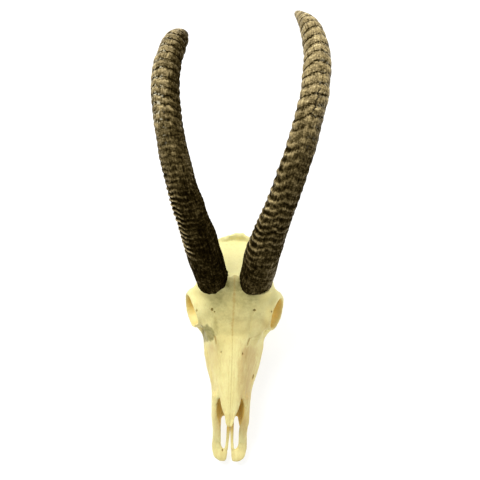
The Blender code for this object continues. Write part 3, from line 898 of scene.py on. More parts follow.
@dataclass
class Bones:
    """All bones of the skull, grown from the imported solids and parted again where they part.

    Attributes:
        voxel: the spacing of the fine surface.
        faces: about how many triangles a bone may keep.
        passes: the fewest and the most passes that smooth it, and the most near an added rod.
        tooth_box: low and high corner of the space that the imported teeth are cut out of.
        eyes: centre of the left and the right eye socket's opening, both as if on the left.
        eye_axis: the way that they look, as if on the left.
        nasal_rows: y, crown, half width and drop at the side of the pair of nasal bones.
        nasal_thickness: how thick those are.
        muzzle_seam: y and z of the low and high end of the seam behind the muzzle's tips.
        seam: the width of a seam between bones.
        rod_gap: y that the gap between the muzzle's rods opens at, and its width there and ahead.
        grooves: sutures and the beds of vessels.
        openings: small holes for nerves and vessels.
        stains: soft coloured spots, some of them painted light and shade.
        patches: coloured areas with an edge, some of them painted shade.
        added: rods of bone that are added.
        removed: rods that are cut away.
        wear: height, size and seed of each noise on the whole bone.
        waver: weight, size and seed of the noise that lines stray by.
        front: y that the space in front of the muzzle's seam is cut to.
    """

    voxel: float = 1.15
    faces: int = 188000
    passes: tuple = (2, 16, 3)
    tooth_box: tuple = ((-56, -72, -6), (56, 58, 14.6))
    eyes: tuple = ((72.0, 48.8, 91.2), (74.0, 48.8, 91.2))
    eye_axis: tuple = (0.915, -0.32, 0.25)
    nasal_rows: tuple = (
        (4.0, 115.0, 8, 3),
        (-10, 111.0, 15, 6),
        (-40, 102.0, 19, 7),
        (-70, 93.0, 20, 8),
        (-96, 85.0, 19.0, 8),
        (-106, 81.7, 17.0, 6.5),
        (-116, 78.3, 13.6, 5),
        (-127, 74.2, 9.6, 3),
        (-143.0, 68.4, 5.2, 1),
    )
    nasal_thickness: float = 4.8
    muzzle_seam: tuple = ((-138.0, 6.0), (-98.5, 70.8))
    seam: float = 0.10
    rod_gap: tuple = (-145.0, 0.4, 20.0)
    grooves: tuple = GROOVES
    openings: tuple = OPENINGS
    stains: tuple = STAINS
    patches: tuple = PATCHES
    added: tuple = ADDED
    removed: tuple = REMOVED
    wear: tuple = ((0.22, 21, 1), (0.12, 8, 2), (0.07, 3.1, 3))
    waver: tuple = ((1, 3.2, 11), (0.5, 1.5, 15))
    front: float = -260.0

    def build(self) -> list[Object]:
        """Grows, carves, parts and marks the bones.

        Returns:
            The cranium, the two nasal bones and the two tips of the muzzle.
        """
        whole = self.merged()
        self.refine(whole)
        self.carve(whole)
        pieces = self.parted(whole)
        for piece in pieces:
            self.thinned(piece)
            self.mark(piece)
        return pieces

    def merged(self) -> Object:
        """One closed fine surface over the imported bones, without the teeth.

        Returns:
            The surface, smoothed as widely as the triangles that it comes from.
        """
        bm = bmesh.new()
        for name in BONE_NODES:
            bm.from_mesh(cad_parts[name].data)
        bmesh.ops.remove_doubles(bm, verts=bm.verts, dist=WELD / 2)
        coarse = BVHTree.FromBMesh(bm)
        sizes = np.array([math.sqrt(f.calc_area()) for f in bm.faces]) / MM
        whole = combined(new_object("whole", bm), self.block("teeth", *self.tooth_box), "DIFFERENCE")
        with editing(whole) as bm:
            rods = np.vstack([tube.balls(bm) for tube in self.added])
        self.fused(whole)
        bm = bmesh.new()
        for tube in self.removed:
            tube.balls(bm)
        combined(whole, self.fused(new_object("removed", bm)), "DIFFERENCE")
        fewest, most, near_rods = self.passes
        with editing(whole) as bm:
            bm.verts.ensure_lookup_table()
            near = np.array([sizes[coarse.find_nearest(v.co)[2]] for v in bm.verts])
            passes = np.clip(fewest + 2.4 * (near - 1.0), fewest, most)
            points = SKULL.to_mm(np.array([v.co for v in bm.verts]))
            for *centre, radius in rods:
                close = np.linalg.norm(points - centre, axis=1) < radius + 1.5
                passes[close] = np.minimum(passes[close], near_rods)
            axes = {f"use_axis_{axis}": True for axis in "xyz"}
            for turn in range(most):
                group = [bm.verts[i] for i in np.flatnonzero(passes > turn)]
                bmesh.ops.smooth_vert(bm, verts=group, factor=0.5, **axes)
        return whole

    def fused(self, obj: Object) -> Object:
        """Joins an object's overlapping parts into one closed surface of even small faces.

        Args:
            obj: the object.

        Returns:
            The same object.
        """
        fuse = obj.modifiers.new("fuse", "REMESH")
        fuse.mode, fuse.voxel_size = "VOXEL", self.voxel * MM
        return settled(obj)

    @staticmethod
    def block(name: str, low: tuple, high: tuple) -> Object:
        """A plain box between two corners on the skull, to cut with.

        Args:
            name: its name.
            low: its low corner.
            high: its high corner.

        Returns:
            The box.
        """
        bm = bmesh.new()
        low, high = SKULL.to_row(low), SKULL.to_row(high)
        place = Matrix.Translation(Vector((low + high) / 2)) @ Matrix.Diagonal((*(high - low), 1))
        bmesh.ops.create_cube(bm, size=1, matrix=place)
        return new_object(name, bm)

    def refine(self, whole: Object) -> None:
        """Splits the faces near the small openings, so that those come out crisp.

        Args:
            whole: the fine surface.
        """
        with editing(whole) as bm:
            points = SKULL.to_mm(np.array([v.co for v in bm.verts]))
            near = np.zeros(len(points), bool)
            for opening in self.openings:
                near |= off_centre(points, opening.centre, np.array(opening.radii) + 1.6) < 1
            edges = [e for e in bm.edges if near[e.verts[0].index] and near[e.verts[1].index]]
            bmesh.ops.subdivide_edges(bm, edges=edges, cuts=1, use_grid_fill=True)
            bmesh.ops.triangulate(bm, faces=[f for f in bm.faces if len(f.verts) > 4])

    def surveyed(self, obj: Object) -> tuple[Array, Array, Array]:
        """A bone's points on the skull, their normals, and how far lines stray there."""
        points = SKULL.to_mm(vectors(obj.data.vertices, "co"))
        return points, vectors(obj.data.vertex_normals, "vector"), wander(points, self.waver)

    def carve(self, whole: Object) -> None:
        """Moves the surface in and out: old wear, grain, sutures, beds of vessels and openings.

        Args:
            whole: the fine surface.
        """
        points, facing, stray = self.surveyed(whole)
        y = points[:, 1]
        lift = sum(height * lumps(points, size, seed) for height, size, seed in self.wear)
        lift += 0.10 * fall(y, -60, 10) * lumps(points, (1.6, 26, 1.6), 4)
        pits = 0.22 * lumps(points, 2.2, 5) - 0.3 * ramp(lumps(points, 3.0, 6), 0.25, 0.7)
        lift += self.roughened(points) * pits
        lift += 0.9 * ramp(y, 150, 172) * lumps(points, 4.5, 7)
        lift += 0.35 * ramp(y, 110, 150) * lumps(points, 7, 8)
        lift += 1.6 * blob(points, (-3.5, 184, 104), (4, 9, 7))
        for groove in self.grooves:
            lift -= groove.depth * bell(groove.distance(points, facing, stray), 0.55 * groove.width)
        for opening in self.openings:
            lift -= opening.depth * fall(off_centre(points, opening.centre, opening.radii), 0.35, 1.3)
        put_positions(whole.data, SKULL.to_row(points + facing * lift[:, None]))

    @staticmethod
    def roughened(points: Array) -> Array:
        """Where the bone is porous: round the horns' feet, on the braincase, crest and condyles.

        Args:
            points: points on the skull.

        Returns:
            From 0 to 1 a point.
        """
        stumps = blob(np.abs(points), (34, 84, 136), (20, 22, 20))
        crown = blob(points, (0, 132, 122), (34, 34, 26)) * 0.8
        return np.clip(stumps + crown + ramp(points[:, 1], 145, 172), 0, 1)

    def nasal_block(self, grow: float, side: Side | None = None) -> Object:
        """The space of the nasal bones, open above, larger all round by grow.

        Args:
            grow: how much larger it is.
            side: only that side's half, or none for both.

        Returns:
            A closed object to cut with.
        """
        tall, across = 40, 12
        rows = curve_through(self.nasal_rows, 26)
        rows[0, 0] += grow
        rows[-1, 0] -= grow
        inner = 0.0 if side is None else self.seam * 0.55
        bm = bmesh.new()
        bmesh.ops.create_grid(bm, x_segments=len(rows) - 1, y_segments=across, size=0.5)
        for vert in bm.verts:
            y, crown, half, drop = rows[round((vert.co.x + 0.5) * (len(rows) - 1))]
            share = vert.co.y * 2 if side is None else (vert.co.y + 0.5) * side.value
            half += grow
            x = share * half if side is None else (inner + abs(share) * (half - inner)) * side.value
            z = crown - self.nasal_thickness - grow - 0.35 * drop * abs(share) ** 2.2
            vert.co = Vector(SKULL.to_row((x, y, z)))
        made = bmesh.ops.extrude_face_region(bm, geom=bm.faces[:])
        top = [v for v in made["geom"] if isinstance(v, bmesh.types.BMVert)]
        bmesh.ops.translate(bm, verts=top, vec=(0, 0, tall * MM))
        bmesh.ops.recalc_face_normals(bm, faces=bm.faces)
        return new_object("nasal_space", bm)

    def muzzle_block(self, back: float, side: Side | None = None) -> Object:
        """The space in front of the slanting seam behind the muzzle's tips.

        Args:
            back: how far it is moved back.
            side: only that side's half, or none for both.

        Returns:
            A closed object to cut with.
        """
        (low_y, low_z), (high_y, high_z) = self.muzzle_seam
        opens, narrow, wide = self.rod_gap
        past, broad = 12, 120
        bm = bmesh.new()
        bmesh.ops.create_cube(bm, size=1)
        for vert in bm.verts:
            z = high_z + past if vert.co.z > 0 else low_z - past
            seam = low_y + (high_y - low_y) * (z - low_z) / (high_z - low_z)
            y = seam + back if vert.co.y > 0 else self.front
            x = vert.co.x * broad
            if side is not None and x * side.value < 0:
                x = narrow / 2 * side.value
            vert.co = Vector(SKULL.to_row((x, y, z)))
        if side is not None:
            geometry = bm.verts[:] + bm.edges[:] + bm.faces[:]
            plane = {"plane_co": SKULL.to_row((0, opens, 0)), "plane_no": (0, 1, 0)}
            bmesh.ops.bisect_plane(bm, geom=geometry, **plane)
            places = SKULL.to_mm(np.array([v.co for v in bm.verts]))
            inner = [v for v, (x, y, _) in zip(bm.verts, places) if y < self.front + 1 and abs(x) < 1]
            shift = (wide - narrow) / 2 * side.value * MM
            bmesh.ops.translate(bm, verts=inner, vec=(shift, 0, 0))
        return new_object("muzzle_space", bm)

    def parted(self, whole: Object) -> list[Object]:
        """Cuts the fine surface into its bones.

        Args:
            whole: the surface, which becomes the cranium.

        Returns:
            The pieces.
        """
        pieces = []
        for name, space in (("nasal_bone", self.nasal_block), ("muzzle_tip", self.muzzle_block)):
            for side in Side:
                piece = whole.copy()
                bpy.context.scene.collection.objects.link(piece)
                self.keep_largest(combined(piece, space(0.0, side), "INTERSECT"))
                piece.name = f"{name}_{side.word}"
                pieces.append(piece)
            combined(whole, space(self.seam), "DIFFERENCE")
        self.keep_largest(whole)
        whole.name = "skull_bone"
        return [whole, *pieces]

    @staticmethod
    def keep_largest(obj: Object) -> None:
        """Keeps only an object's largest closed surface.

        Args:
            obj: a bone that was cut.
        """
        with editing(obj) as bm:
            left, groups = set(bm.verts), []
            while left:
                front = [left.pop()]
                group = list(front)
                while front:
                    near = {e.other_vert(v) for v in front for e in v.link_edges} & left
                    left -= near
                    group += near
                    front = list(near)
                groups.append(group)
            away = set(bm.verts) - set(max(groups, key=len))
            bmesh.ops.delete(bm, geom=list(away), context="VERTS")

    def thinned(self, obj: Object) -> None:
        """Lowers a bone's number of triangles where its surface is flat.

        Args:
            obj: the bone.
        """
        obj.data.calc_loop_triangles()
        count = len(obj.data.loop_triangles)
        if count > self.faces:
            obj.modifiers.new("thin", "DECIMATE").ratio = self.faces / count
            settled(obj)

    def mark(self, obj: Object) -> None:
        """Stores where a finished bone is stained, seamed, pitted or porous, and its painted light and
        shade, for its material.

        Args:
            obj: the bone.
        """
        points, facing, stray = self.surveyed(obj)
        x, y, z = points.T
        names = ("olive_stain_and_shade", "tan", "ochre", "seam", "recess_shade", "pale_and_lit", "streak")
        marks = {name: np.zeros(len(points)) for name in names}
        for stain in self.stains:
            marks[stain.mark] += stain.strength * blob(points, stain.centre, stain.radii)
        for patch in self.patches:
            marks[patch.mark] += patch.share(points)
        # Behind the saddle's edge the olive colour stops and the braincase is paler, partly its own tone
        # and partly painted light where the horns keep the lamps off it.
        edge = 94.0 + 7.0 * bell(x, 6.0) + 2.0 * lumps(points, 5, 63)
        behind = ramp(y - edge, -1.5, 1.5)
        marks["olive_stain_and_shade"] *= 1 - behind
        marks["pale_and_lit"] = marks["pale_and_lit"] * (1 - behind) + 0.85 * behind
        # Ochre inside the eye sockets, and painted light, in the pale colour, on the lit lower front wall
        # of the right socket.
        lit = blob(points, (-72, 40, 68), (16, 15, 20))
        socket = self.socket_depth(points)
        marks["ochre"] += socket * (0.8 - 0.8 * lit) + self.passage(points) * 0.95
        marks["pale_and_lit"] += socket * lit
        for groove in self.grooves:
            away = groove.distance(points, facing, stray)
            marks["seam"] += groove.stain * bell(away, 0.75 * groove.width)
        # Inside the small holes: painted shade.
        for opening in self.openings:
            inside = off_centre(points, opening.centre, np.array(opening.radii) * 1.1)
            marks["recess_shade"] += opening.dark * fall(inside, 0.4, 1.5)
        marks["porous"] = self.roughened(points) * (1 - 0.6 * ramp(y, 150, 172))
        flanks = ramp(np.abs(x), 8, 20)
        streak = 0.22 + 0.08 * flanks + 0.4 * (flanks * (x > 0)) * ramp(z, 40, 75)
        marks["streak"] = fall(y, -30, 5) * streak
        for name, values in marks.items():
            stored = obj.data.attributes.new(name, "FLOAT", "POINT")
            stored.data.foreach_set("value", np.clip(values, 0, 1).astype(np.float32))

    def socket_depth(self, points: Array) -> Array:
        """How far inside an eye socket each point is.

        Args:
            points: points on the skull.

        Returns:
            0 at its rim to 1 inside.
        """
        axis = np.array(self.eye_axis) / np.linalg.norm(self.eye_axis)
        right = points[:, :1] < 0
        from_eye = points * np.where(right, (-1, 1, 1), (1, 1, 1))
        from_eye -= np.where(right, self.eyes[1], self.eyes[0])
        deep = from_eye @ axis
        off = np.linalg.norm(from_eye - deep[:, None] * axis, axis=1)
        return fall(deep, -5.0, 4.0) * fall(off, 27.2, 29.0) * ramp(deep, -62, -50)

    @staticmethod
    def passage(points: Array) -> Array:
        """Where the bone lines the nose, under the nasal bones and between the muzzle's bars.

        Args:
            points: points on the skull.

        Returns:
            From 0 to 1 a point.
        """
        x, y, z = points.T
        places = (-148, -142, -130, -118, -105, -98, -90, -50)
        reach = np.interp(y, places, (12, 15, 21, 23.5, 23.2, 20.5, 17, 15))
        top = np.interp(y, (-146, -131, -118, -103, -90, -50), (60, 66, 70, 73, 75, 85))
        inside = ramp(reach - np.abs(x), -0.9, 0.9) * ramp(top - z, 0, 2)
        return inside * ramp(y, -152, -140) * ramp(z, 18, 26) * fall(y, -50, -30)


@dataclass
class Horn:
    """One ringed horn sheath.

    Attributes:
        side: the side of the animal that it grows on.
        out: how far from the midline its root is.
        length: along its curve.
        rise: degrees that it leaves the face's slope at.
        droop: degrees that it points past that slope at its tip.
        spread: how far it leans out, at even steps along it.
        half_width: how thick it is, at even steps along it.
        foot: how deep its middle sits in the skull, and how much higher its foot is cut on the
            outer side and in front.
        rings: shares of its length, and how many growth rings lie below each.
        looks: shares of its length, with its paleness and the swing of that from valley to crest
            on the outer side, in front and on the inner side, and how sharp the crests are.
        scallops: how far the rings sag in waves across its front, and how far they stand out on
            the inner side of its upper half.
        flake_glint_share: how much flecking, dry flakes with painted glints, lies between the rings on its
            outer side.
        cleft: share, degrees round, length and width of a crack, or none.
        root: y and z of its root.
        slope: degrees that the face slopes at.
        depth_ratio: shares of its length, and how deep it is there for its width.
        around: how many faces go round it.
        along: how many faces go along it.
    """

    side: Side
    out: float
    length: float
    rise: float
    droop: float
    spread: tuple
    half_width: tuple
    foot: tuple
    rings: tuple
    looks: tuple
    scallops: tuple
    flake_glint_share: float
    cleft: tuple | None = None
    root: tuple = (93.5, 130.8)
    slope: float = 20.0
    depth_ratio: tuple = ((0.0, 1.14), (0.4, 1.10), (0.8, 1.02), (1.0, 1.0))
    around: int = 120
    along: int = 760

    def build(self) -> Object:
        """Wraps a fine grid round the middle line and raises the rings, fibres and wear on it.

        Returns:
            The closed horn, with the numbers that its material reads.
        """
        bm, round_it, up = round_grid(self.around, self.along)
        turn = 2 * math.pi * round_it - math.pi / 2
        depth, out_rise, front_rise = self.foot
        hem = -depth + out_rise * self.outward(turn) + front_rise * np.sin(turn)
        hem += 2.5 + 1.1 * lumps(self.skin(turn, 0 * turn), 4.0, 31)
        start = hem / self.length
        share = start + (1 - start) * up
        points, marks = self.surface(share, turn, (share - start) * self.length)
        return wrapped(f"horn_sheath_{self.side.word}", bm, points, marks)

    def outward(self, turn: Array) -> Array:
        """How far a place looks away from the midline, from -1 to 1."""
        return self.side.value * np.cos(turn)

    @staticmethod
    def skin(turn: Array, along: Array) -> Array:
        """Coordinates for noise on the sheath: those on a straight rod."""
        return np.stack([THICK * np.cos(turn), THICK * np.sin(turn), along], -1)

    def centre_line(self, share: Array) -> Array:
        """Points on the horn's middle line.

        Args:
            share: distances from its root as shares of its length, less than nothing in the skull.

        Returns:
            Points on the skull.
        """
        fine = np.linspace(0, self.length, 800)
        angle = np.radians(self.rise + (self.droop - self.rise) * fine / self.length)
        steps = (np.cos(angle[:-1]) * fine[1], np.sin(angle[:-1]) * fine[1])
        back, rise = (np.concatenate([[0], np.cumsum(step)]) for step in steps)
        c, s = math.cos(math.radians(self.slope)), math.sin(math.radians(self.slope))
        spread = self.side.value * eased(self.spread, len(fine))
        line = np.stack([spread, back * c - rise * s, back * s + rise * c], -1)
        line += np.array((self.side.value * self.out, *self.root))
        at = share * self.length
        start = (line[4] - line[0]) / fine[4]
        return read_rows(at, fine, line) + np.minimum(at, 0)[:, None] * start

    def ring_phase(self, share: Array) -> tuple[Array, Array]:
        """Which ring a place is in, and how far through it.

        Args:
            share: places along the horn.

        Returns:
            The ring's number and the share of it that is passed.
        """
        fine = np.linspace(0, 1, 60)
        count = np.interp(fine, *zip(*self.rings))
        count = np.convolve(np.pad(count, 3, mode="edge"), np.full(7, 1 / 7), mode="valid")
        place = np.interp(share, fine, count)
        number = np.floor(place)
        return number, place - number

    def surface(self, share: Array, turn: Array, above_hem: Array) -> tuple[Array, dict[str, Array]]:
        """Where the sheath's surface lies.

        Args:
            share: places along the horn.
            turn: angles round it, a quarter turn up its front.
            above_hem: millimetres from the sheath's foot.

        Returns:
            Points on the skull, and the marks for the material.
        """
        seed = 40 + self.side.value
        skin = self.skin(turn, share * self.length)

        def noise(round_it: float, along_it: float, number: int) -> Array:
            """Noise on the sheath, in lumps of those sizes."""
            return lumps(skin, (round_it, round_it, along_it), seed + number)

        pale, swing, sharp = self.look(share, turn)
        number, through = self.ring_phase(share + self.stray(share, turn, noise))
        crest = np.sin(math.pi * through**1.25) ** sharp
        upper = ramp(share, 0.47, 0.56)
        inner, outer = ramp(-self.outward(turn), 0.2, 0.8), ramp(self.outward(turn), -0.1, 0.4)
        specks, strands, threads = noise(2.3, 1.7, 10), noise(1.7, 13, 6), noise(14, 1.6, 5)
        cleft = self.cleft_depth(share, turn)

        uneven = 1 + 0.25 * np.sin(number * 2.4 + seed)
        uneven += (0.30 - 0.12 * upper) * noise(13, 30, 4)
        height = 0.12 + 1.3 * swing + self.scallops[1] * inner * ramp(share, 0.42, 0.55)
        height *= ramp(share, 0.10, 0.16) * fall(share, 0.84, 0.95)
        lift = height * uneven * (2 * crest - 1)
        lift += (0.22 * strands + 0.16 * specks) * (1 - 0.5 * ramp(share, 0.75, 0.98))
        lift += 0.13 * threads * ramp(share, 0.1, 0.3)
        lift += 0.5 * noise(11, 22, 8) * fall(share, 0.9, 0.98)
        lift += 1.1 * noise(30, 26, 18) * ramp(share, 0.04, 0.12) * fall(share, 0.85, 0.95)
        lift += 0.7 * fall(above_hem, 2, 8) * (1 + 0.6 * noise(3, 30, 9))
        lift -= 3.0 * cleft

        # Crests paler and valleys darker: partly the horn's own colour and wear, partly painted light and
        # shade.
        broken = 1 + (0.75 - 0.5 * upper) * noise(6, 9, 3)
        pale += swing * (crest - 0.5) * np.clip(broken, 0.15, 2)
        # In the upper half, pale lines at the crests and dark lines between the rings: partly painted
        # highlight and painted shade.
        edge = np.minimum(through, 1 - through)
        lip = bell(through - 0.20, 0.08) + 0.6 * bell(through - 0.62, 0.06)
        drawn = 0.55 + 0.35 * np.sin(number * 2.9 + seed) + 0.55 * noise(9, 9, 16)
        pale += upper * swing * (0.55 * lip - 0.85 * bell(edge, 0.085)) * np.clip(drawn, 0, 1.2)
        pale += upper * 0.30 * bell(edge, 0.24) * specks * (1 - inner)
        busy = 0.40 + 0.5 * pale
        pale += busy * (0.24 * specks + 0.18 * strands + 0.12 * threads)
        pale += 0.16 * noise(10, 15, 12) * busy
        # Pale grey flecks in the valleys on the outer side: dry flaking with painted glints.
        flake_glint = ramp(noise(3.0, 1.9, 14), 0.15, 0.5) * fall(edge, 0.16, 0.27) * (1 - inner)
        flake_glint *= ramp(share, 0.40, 0.54) * fall(share, 0.8, 0.9) * self.flake_glint_share * outer
        marks = {"pale": pale, "cleft": cleft * 1.4, "flake_glint": 0.7 * flake_glint}
        marks = {name: np.clip(values, 0, 1) for name, values in marks.items()}
        return self.placed(share, turn, lift), marks | {"fibre": skin * MM}

    def placed(self, share: Array, turn: Array, lift: Array) -> Array:
        """Points round the middle line, at the horn's width and depth.

        Args:
            share: places along the horn.
            turn: angles round it.
            lift: how far they stand out from its even width.

        Returns:
            Points on the skull.
        """
        order = np.linspace(share.min(), 1, 1400)
        line = self.centre_line(order)
        tangent = unit(np.gradient(line, axis=0))
        front = unit(np.cross((1.0, 0.0, 0.0), tangent))
        across = np.cross(tangent, front)
        wide = np.interp(share, np.linspace(0, 1, 200), eased(self.half_width, 200))
        deep = wide * np.interp(share, *zip(*self.depth_ratio))
        tip = np.sqrt(np.clip((1 - share) / 0.02, 0, 1))
        points = read_rows(share, order, line)
        points += read_rows(share, order, across) * ((wide + lift) * tip * np.cos(turn))[:, None]
        return points + read_rows(share, order, front) * ((deep + lift) * tip * np.sin(turn))[:, None]

    def stray(self, share: Array, turn: Array, noise: Callable[[float, float, int], Array]) -> Array:
        """How far the rings wander along the horn as they go round it.

        Args:
            share: places along the horn.
            turn: angles round it.
            noise: noise on the sheath, by the two sizes of its lumps and its number.

        Returns:
            Shares of the horn's length.
        """
        calm = 1 - 0.5 * ramp(share, 0.55, 0.72)
        waves = 0.0060 * noise(19, 55, 0) + 0.0040 * calm * noise(8.5, 26, 2)
        waves += 0.0018 * calm * noise(3.2, 8, 1)
        waves -= (0.012 - 0.005 * ramp(share, 0.5, 0.65)) * self.outward(turn)
        waves += self.scallops[0] * np.abs(np.sin(2 * turn)) * fall(share, 0.5, 0.62)
        return waves * ramp(share, 0.07, 0.16)

    def look(self, share: Array, turn: Array) -> tuple[Array, Array, Array]:
        """The sheath's paleness, how far its rings swing it, and how sharp their crests are.

        Args:
            share: places along the horn.
            turn: angles round it.

        Returns:
            The three, one number a point in each.
        """
        rows = np.array(self.looks, float)
        found = read_rows(share, rows[:, 0], rows[:, 1:])
        # The sides that face away from the key light, the right horn's inner side and the left horn's
        # outer side, are darker, partly as painted shade.
        out, within = (ramp(way * self.outward(turn), 0.10, 0.75) for way in (1, -1))
        shares = np.stack([out, 1 - out - within, within], -1)
        pale, swing = ((found[:, first:6:2] * shares).sum(1) for first in (0, 1))
        return pale, swing, found[:, 6]

    def cleft_depth(self, share: Array, turn: Array) -> Array:
        """A lengthwise crack.

        Args:
            share: places along the horn.
            turn: angles round it.

        Returns:
            1 in its middle, and 0 beside it.
        """
        if self.cleft is None:
            return np.zeros(len(share))
        middle, angle, reach, width = self.cleft
        bend = np.radians(angle) - (share - middle) * 2.0 + 0.05 * np.sin(share * 260)
        ends = fall(np.abs(share - middle), reach * 0.6, reach)
        return bell(np.abs(turn - bend) * 23, width) * ends


@dataclass
class CheekTeeth:
    """A row of six worn cheek teeth.

    Attributes:
        side: the side of the jaw.
        front: y of the row's front end.
        root: z that the crowns grow down from.
        worn: the share of the grid's rows that makes the worn face.
        sizes: length, width, distance from the midline and height of the worn face of each.
    """

    side: Side
    front: float = -64.0
    root: float = 24.0
    worn: float = 0.6
    sizes: tuple = (
        (13, 12, 31.0, 1.0),
        (15, 15, 33.5, 0.6),
        (15, 17, 36.0, 0.3),
        (21, 20, 38.5, 0.1),
        (25, 21, 40.5, 0.25),
        (26, 20, 41.0, 0.7),
    )

    def build(self) -> list[Object]:
        """The teeth of the row, from front to back."""
        ends = self.front + np.cumsum([0, *(row[0] for row in self.sizes)])
        return [self.tooth(number, middle) for number, middle in enumerate((ends[:-1] + ends[1:]) / 2)]

    def tooth(self, number: int, middle: float) -> Object:
        """One tooth: a column with ribs outside and lobes inside, hollowed on its worn face.

        Args:
            number: its place in the row.
            middle: y of its middle.

        Returns:
            The tooth.
        """
        length, width, out, ground = self.sizes[number]
        double = number > 2
        bm, round_it, up = round_grid(56, 60)
        turn = 2 * math.pi * round_it
        c, s = np.cos(turn), np.sin(turn)
        notch = 0.17 * ramp(-c, -0.2, 0.5) * bell(s, 0.2) * double
        ribs = 0.05 * np.cos(s * 3 * math.pi) + 0.04 * bell(np.abs(s) - 0.9, 0.1)
        ribs *= ramp(c, -0.2, 0.5)
        x = np.sign(c) * np.abs(c) ** 0.72 * (1 - notch + ribs) * width / 2
        y = np.sign(s) * np.abs(s) ** 0.6 * length * 0.495

        worn = np.clip(1 - up / self.worn, 0, 1)
        climb = np.clip((up - self.worn) / (1 - self.worn), 0, 1)
        face, shrink = worn > 0, 1 - worn * 0.97
        lobed = s**2 if double else np.ones_like(s)
        rim = bell(shrink - 0.94, 0.045)
        crescent = bell(shrink - 0.70, 0.04) * lobed
        basin = bell(shrink - 0.46, 0.15) * lobed
        height = ground + (self.root - ground) * climb
        height += face * (0.5 - 0.5 * np.maximum(rim, crescent) + 1.5 * basin)
        x = self.side.value * (out + x * shrink * (1 - 0.14 * climb))
        points = np.stack([x, middle + y * shrink, height], -1)

        dentine = 0.62 * (1 - rim) * (1 - 0.85 * crescent) + 0.5 * basin
        stain = np.where(face, dentine, 4 * notch + 0.5 * ramp(climb, 0.3, 0.8))
        name = f"cheek_tooth_{self.side.word}_{number + 1}"
        return wrapped(name, bm, points, {"stain": np.clip(stain, 0, 1)})


@dataclass
class Studio:
    """The floor, the lights and the camera.

    Attributes:
        eye: the camera's place over the skull, in millimetres on the skull.
        tilt: degrees that it looks up from straight down.
        turn: degrees that it turns about its own upright.
        roll: degrees that it rolls.
        lens: its focal length for a 36 mm sensor.
        lamps: name, place, power and size of each light, in metres and watts.
        aim: where the lights look.
    """

    eye: tuple = (35.4, -221.6, 1202.5)
    tilt: float = 20.0
    turn: float = 1.5
    roll: float = 2.0
    lens: float = 48.99
    lamps: tuple = (
        ("key", (-1.5, 1.3, 2.9), 92.0, 2.0),
        ("fill", (1.9, -0.6, 1.6), 12.0, 1.6),
        ("back", (0.1, 2.3, 1.9), 42.0, 1.2),
    )
    aim: tuple = (0.0, 0.0, 0.1)

    def build(self) -> None:
        """Sets the stage."""
        self.floor()
        self.lights()
        self.camera()

    def floor(self) -> None:
        """A wide pale floor that the teeth stand on."""
        bm = bmesh.new()
        bmesh.ops.create_grid(bm, x_segments=1, y_segments=1, size=30.0)
        floor = new_object("floor", bm)
        net = NodeTree("floor")
        grain = net.noise(net.add("TexCoord").outputs["Object"], 40, 2)
        colour = net.mix(grain, (0.33, 0.33, 0.33), (0.35, 0.35, 0.35))
        glow = {"Emission_Color": (1.0, 1.0, 1.0), "Emission_Strength": 0.74}
        floor.data.materials.append(net.dressed(Base_Color=colour, Roughness=0.9, **glow))

    def lights(self) -> None:
        """A big soft key from the left of the picture, a weak fill, and a pale surround."""
        world = bpy.data.worlds.new("studio")
        world.use_nodes = True
        surround = world.node_tree.nodes["Background"]
        surround.inputs["Color"].default_value = (1.0, 1.0, 1.0, 1)
        surround.inputs["Strength"].default_value = 0.42
        bpy.context.scene.world = world
        for name, place, power, size in self.lamps:
            data = bpy.data.lights.new(name, "AREA")
            data.energy, data.shape, data.size = power, "DISK", size
            lamp = bpy.data.objects.new(name, data)
            lamp.location = place
            lamp.rotation_mode = "QUATERNION"
            lamp.rotation_quaternion = (Vector(self.aim) - Vector(place)).to_track_quat("-Z", "Y")
            bpy.context.scene.collection.objects.link(lamp)

    def camera(self) -> None:
        """The photograph's camera, high over the skull and a little in front."""
        data = bpy.data.cameras.new("camera")
        data.lens, data.sensor_width, data.clip_start = self.lens, 36.0, 0.01
        camera = bpy.data.objects.new("camera", data)
        turns = zip((self.tilt, self.turn, self.roll), "XYZ")
        tilt, turn, roll = (Matrix.Rotation(math.radians(angle), 4, axis) for angle, axis in turns)
        place = Matrix.Translation(Vector(SKULL.to_row(self.eye)))
        camera.matrix_world = place @ (tilt @ turn @ roll)
        bpy.context.scene.collection.objects.link(camera)
        bpy.context.scene.camera = camera
        bpy.context.scene.view_settings.view_transform = "Standard"


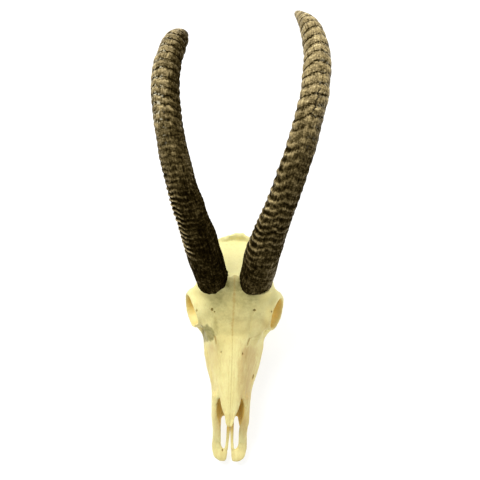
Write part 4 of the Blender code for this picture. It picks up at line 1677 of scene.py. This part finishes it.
def horns() -> list[Horn]:
    """The two horns with their own sizes.

    Returns:
        The right one and the left one.
    """
    right = Horn(
        side=Side.RIGHT,
        out=36.9,
        length=562.0,
        rise=53.9,
        droop=-75.0,
        spread=(0, 19.4, 48.7, 72.9, 84.1, 80.2, 70.4),
        half_width=(26.8, 28.2, 24.4, 22.4, 22.2, 21.3, 19.2, 4.0),
        foot=(7.2, 6.0, 9.5),
        rings=(
            *((0.0, 0), (0.15, 3), (0.22, 9), (0.31, 16), (0.4, 22), (0.48, 26.5)),
            *((0.55, 29.6), (0.65, 33), (0.75, 36), (0.84, 38.6), (1.0, 42)),
        ),
        # Paler on the outer side, which faces the key light; the darker inner side is partly painted
        # shade.
        looks=(
            (0.00, 0.15, 0.00, 0.14, 0.00, 0.10, 0.00, 1.0),
            (0.13, 0.19, 0.05, 0.14, 0.04, 0.09, 0.02, 2.0),
            (0.17, 0.39, 0.80, 0.13, 0.14, 0.12, 0.05, 3.0),
            (0.30, 0.39, 0.80, 0.16, 0.16, 0.15, 0.06, 3.0),
            (0.36, 0.36, 0.30, 0.23, 0.14, 0.22, 0.06, 2.0),
            (0.47, 0.42, 0.20, 0.36, 0.18, 0.25, 0.08, 1.2),
            (0.53, 0.41, 0.38, 0.37, 0.36, 0.20, 0.14, 0.9),
            (0.80, 0.44, 0.42, 0.39, 0.38, 0.17, 0.16, 0.8),
            (0.90, 0.57, 0.34, 0.54, 0.32, 0.24, 0.12, 0.8),
            (1.00, 0.76, 0.25, 0.70, 0.25, 0.32, 0.05, 1.0),
        ),
        scallops=(0.0, 0.9),
        flake_glint_share=1.0,
    )
    left = Horn(
        side=Side.LEFT,
        out=34.5,
        length=566.0,
        rise=55.1,
        droop=-62.3,
        spread=(0, 15.4, 43.5, 70.2, 85.0, 78.4, 54.0),
        half_width=(28.0, 28.6, 23.6, 22.2, 21.8, 20.7, 16.7, 4.0),
        foot=(6.0, 9.0, 15.0),
        rings=(
            *((0.0, 0), (0.09, 1), (0.2, 6.5), (0.3, 11.8), (0.4, 16.2)),
            *((0.5, 20), (0.6, 23.6), (0.7, 26.8), (0.8, 29.8), (1.0, 35)),
        ),
        # Paler on the inner side, which faces the key light; the darker outer side is partly painted
        # shade.
        looks=(
            (0.00, 0.36, 0.00, 0.25, 0.00, 0.17, 0.00, 1.0),
            (0.09, 0.33, 0.05, 0.24, 0.06, 0.20, 0.10, 2.0),
            (0.15, 0.25, 0.12, 0.24, 0.20, 0.33, 0.42, 3.0),
            (0.30, 0.26, 0.18, 0.30, 0.26, 0.39, 0.50, 3.0),
            (0.40, 0.29, 0.16, 0.35, 0.20, 0.43, 0.42, 2.4),
            (0.47, 0.34, 0.16, 0.39, 0.20, 0.44, 0.34, 1.6),
            (0.55, 0.46, 0.30, 0.49, 0.32, 0.46, 0.36, 0.9),
            (0.85, 0.51, 0.32, 0.53, 0.32, 0.48, 0.34, 0.8),
            (1.00, 0.62, 0.10, 0.65, 0.10, 0.60, 0.10, 0.7),
        ),
        scallops=(0.010, 0.3),
        flake_glint_share=0.3,
        cleft=(0.568, 75.0, 0.038, 0.9),
    )
    return [right, left]


def main() -> None:
    """Builds the stage, the bones, the horns and the teeth, and dresses them."""
    logging.basicConfig(level=logging.INFO, format="%(name)s: %(message)s")
    Studio().build()
    bone, horn, tooth = BoneFinish().material(), HornFinish().material(), ToothFinish().material()
    for piece, node in zip(Bones().build(), BONE_NODES):
        finished(piece, "bone", bone, node)
    for maker in horns():
        finished(maker.build(), "horn", horn, f"horn_{maker.side.word}")
    for side in Side:
        for piece in CheekTeeth(side).build():
            finished(piece, "bone", tooth)


if __name__ == "__main__":
    main()
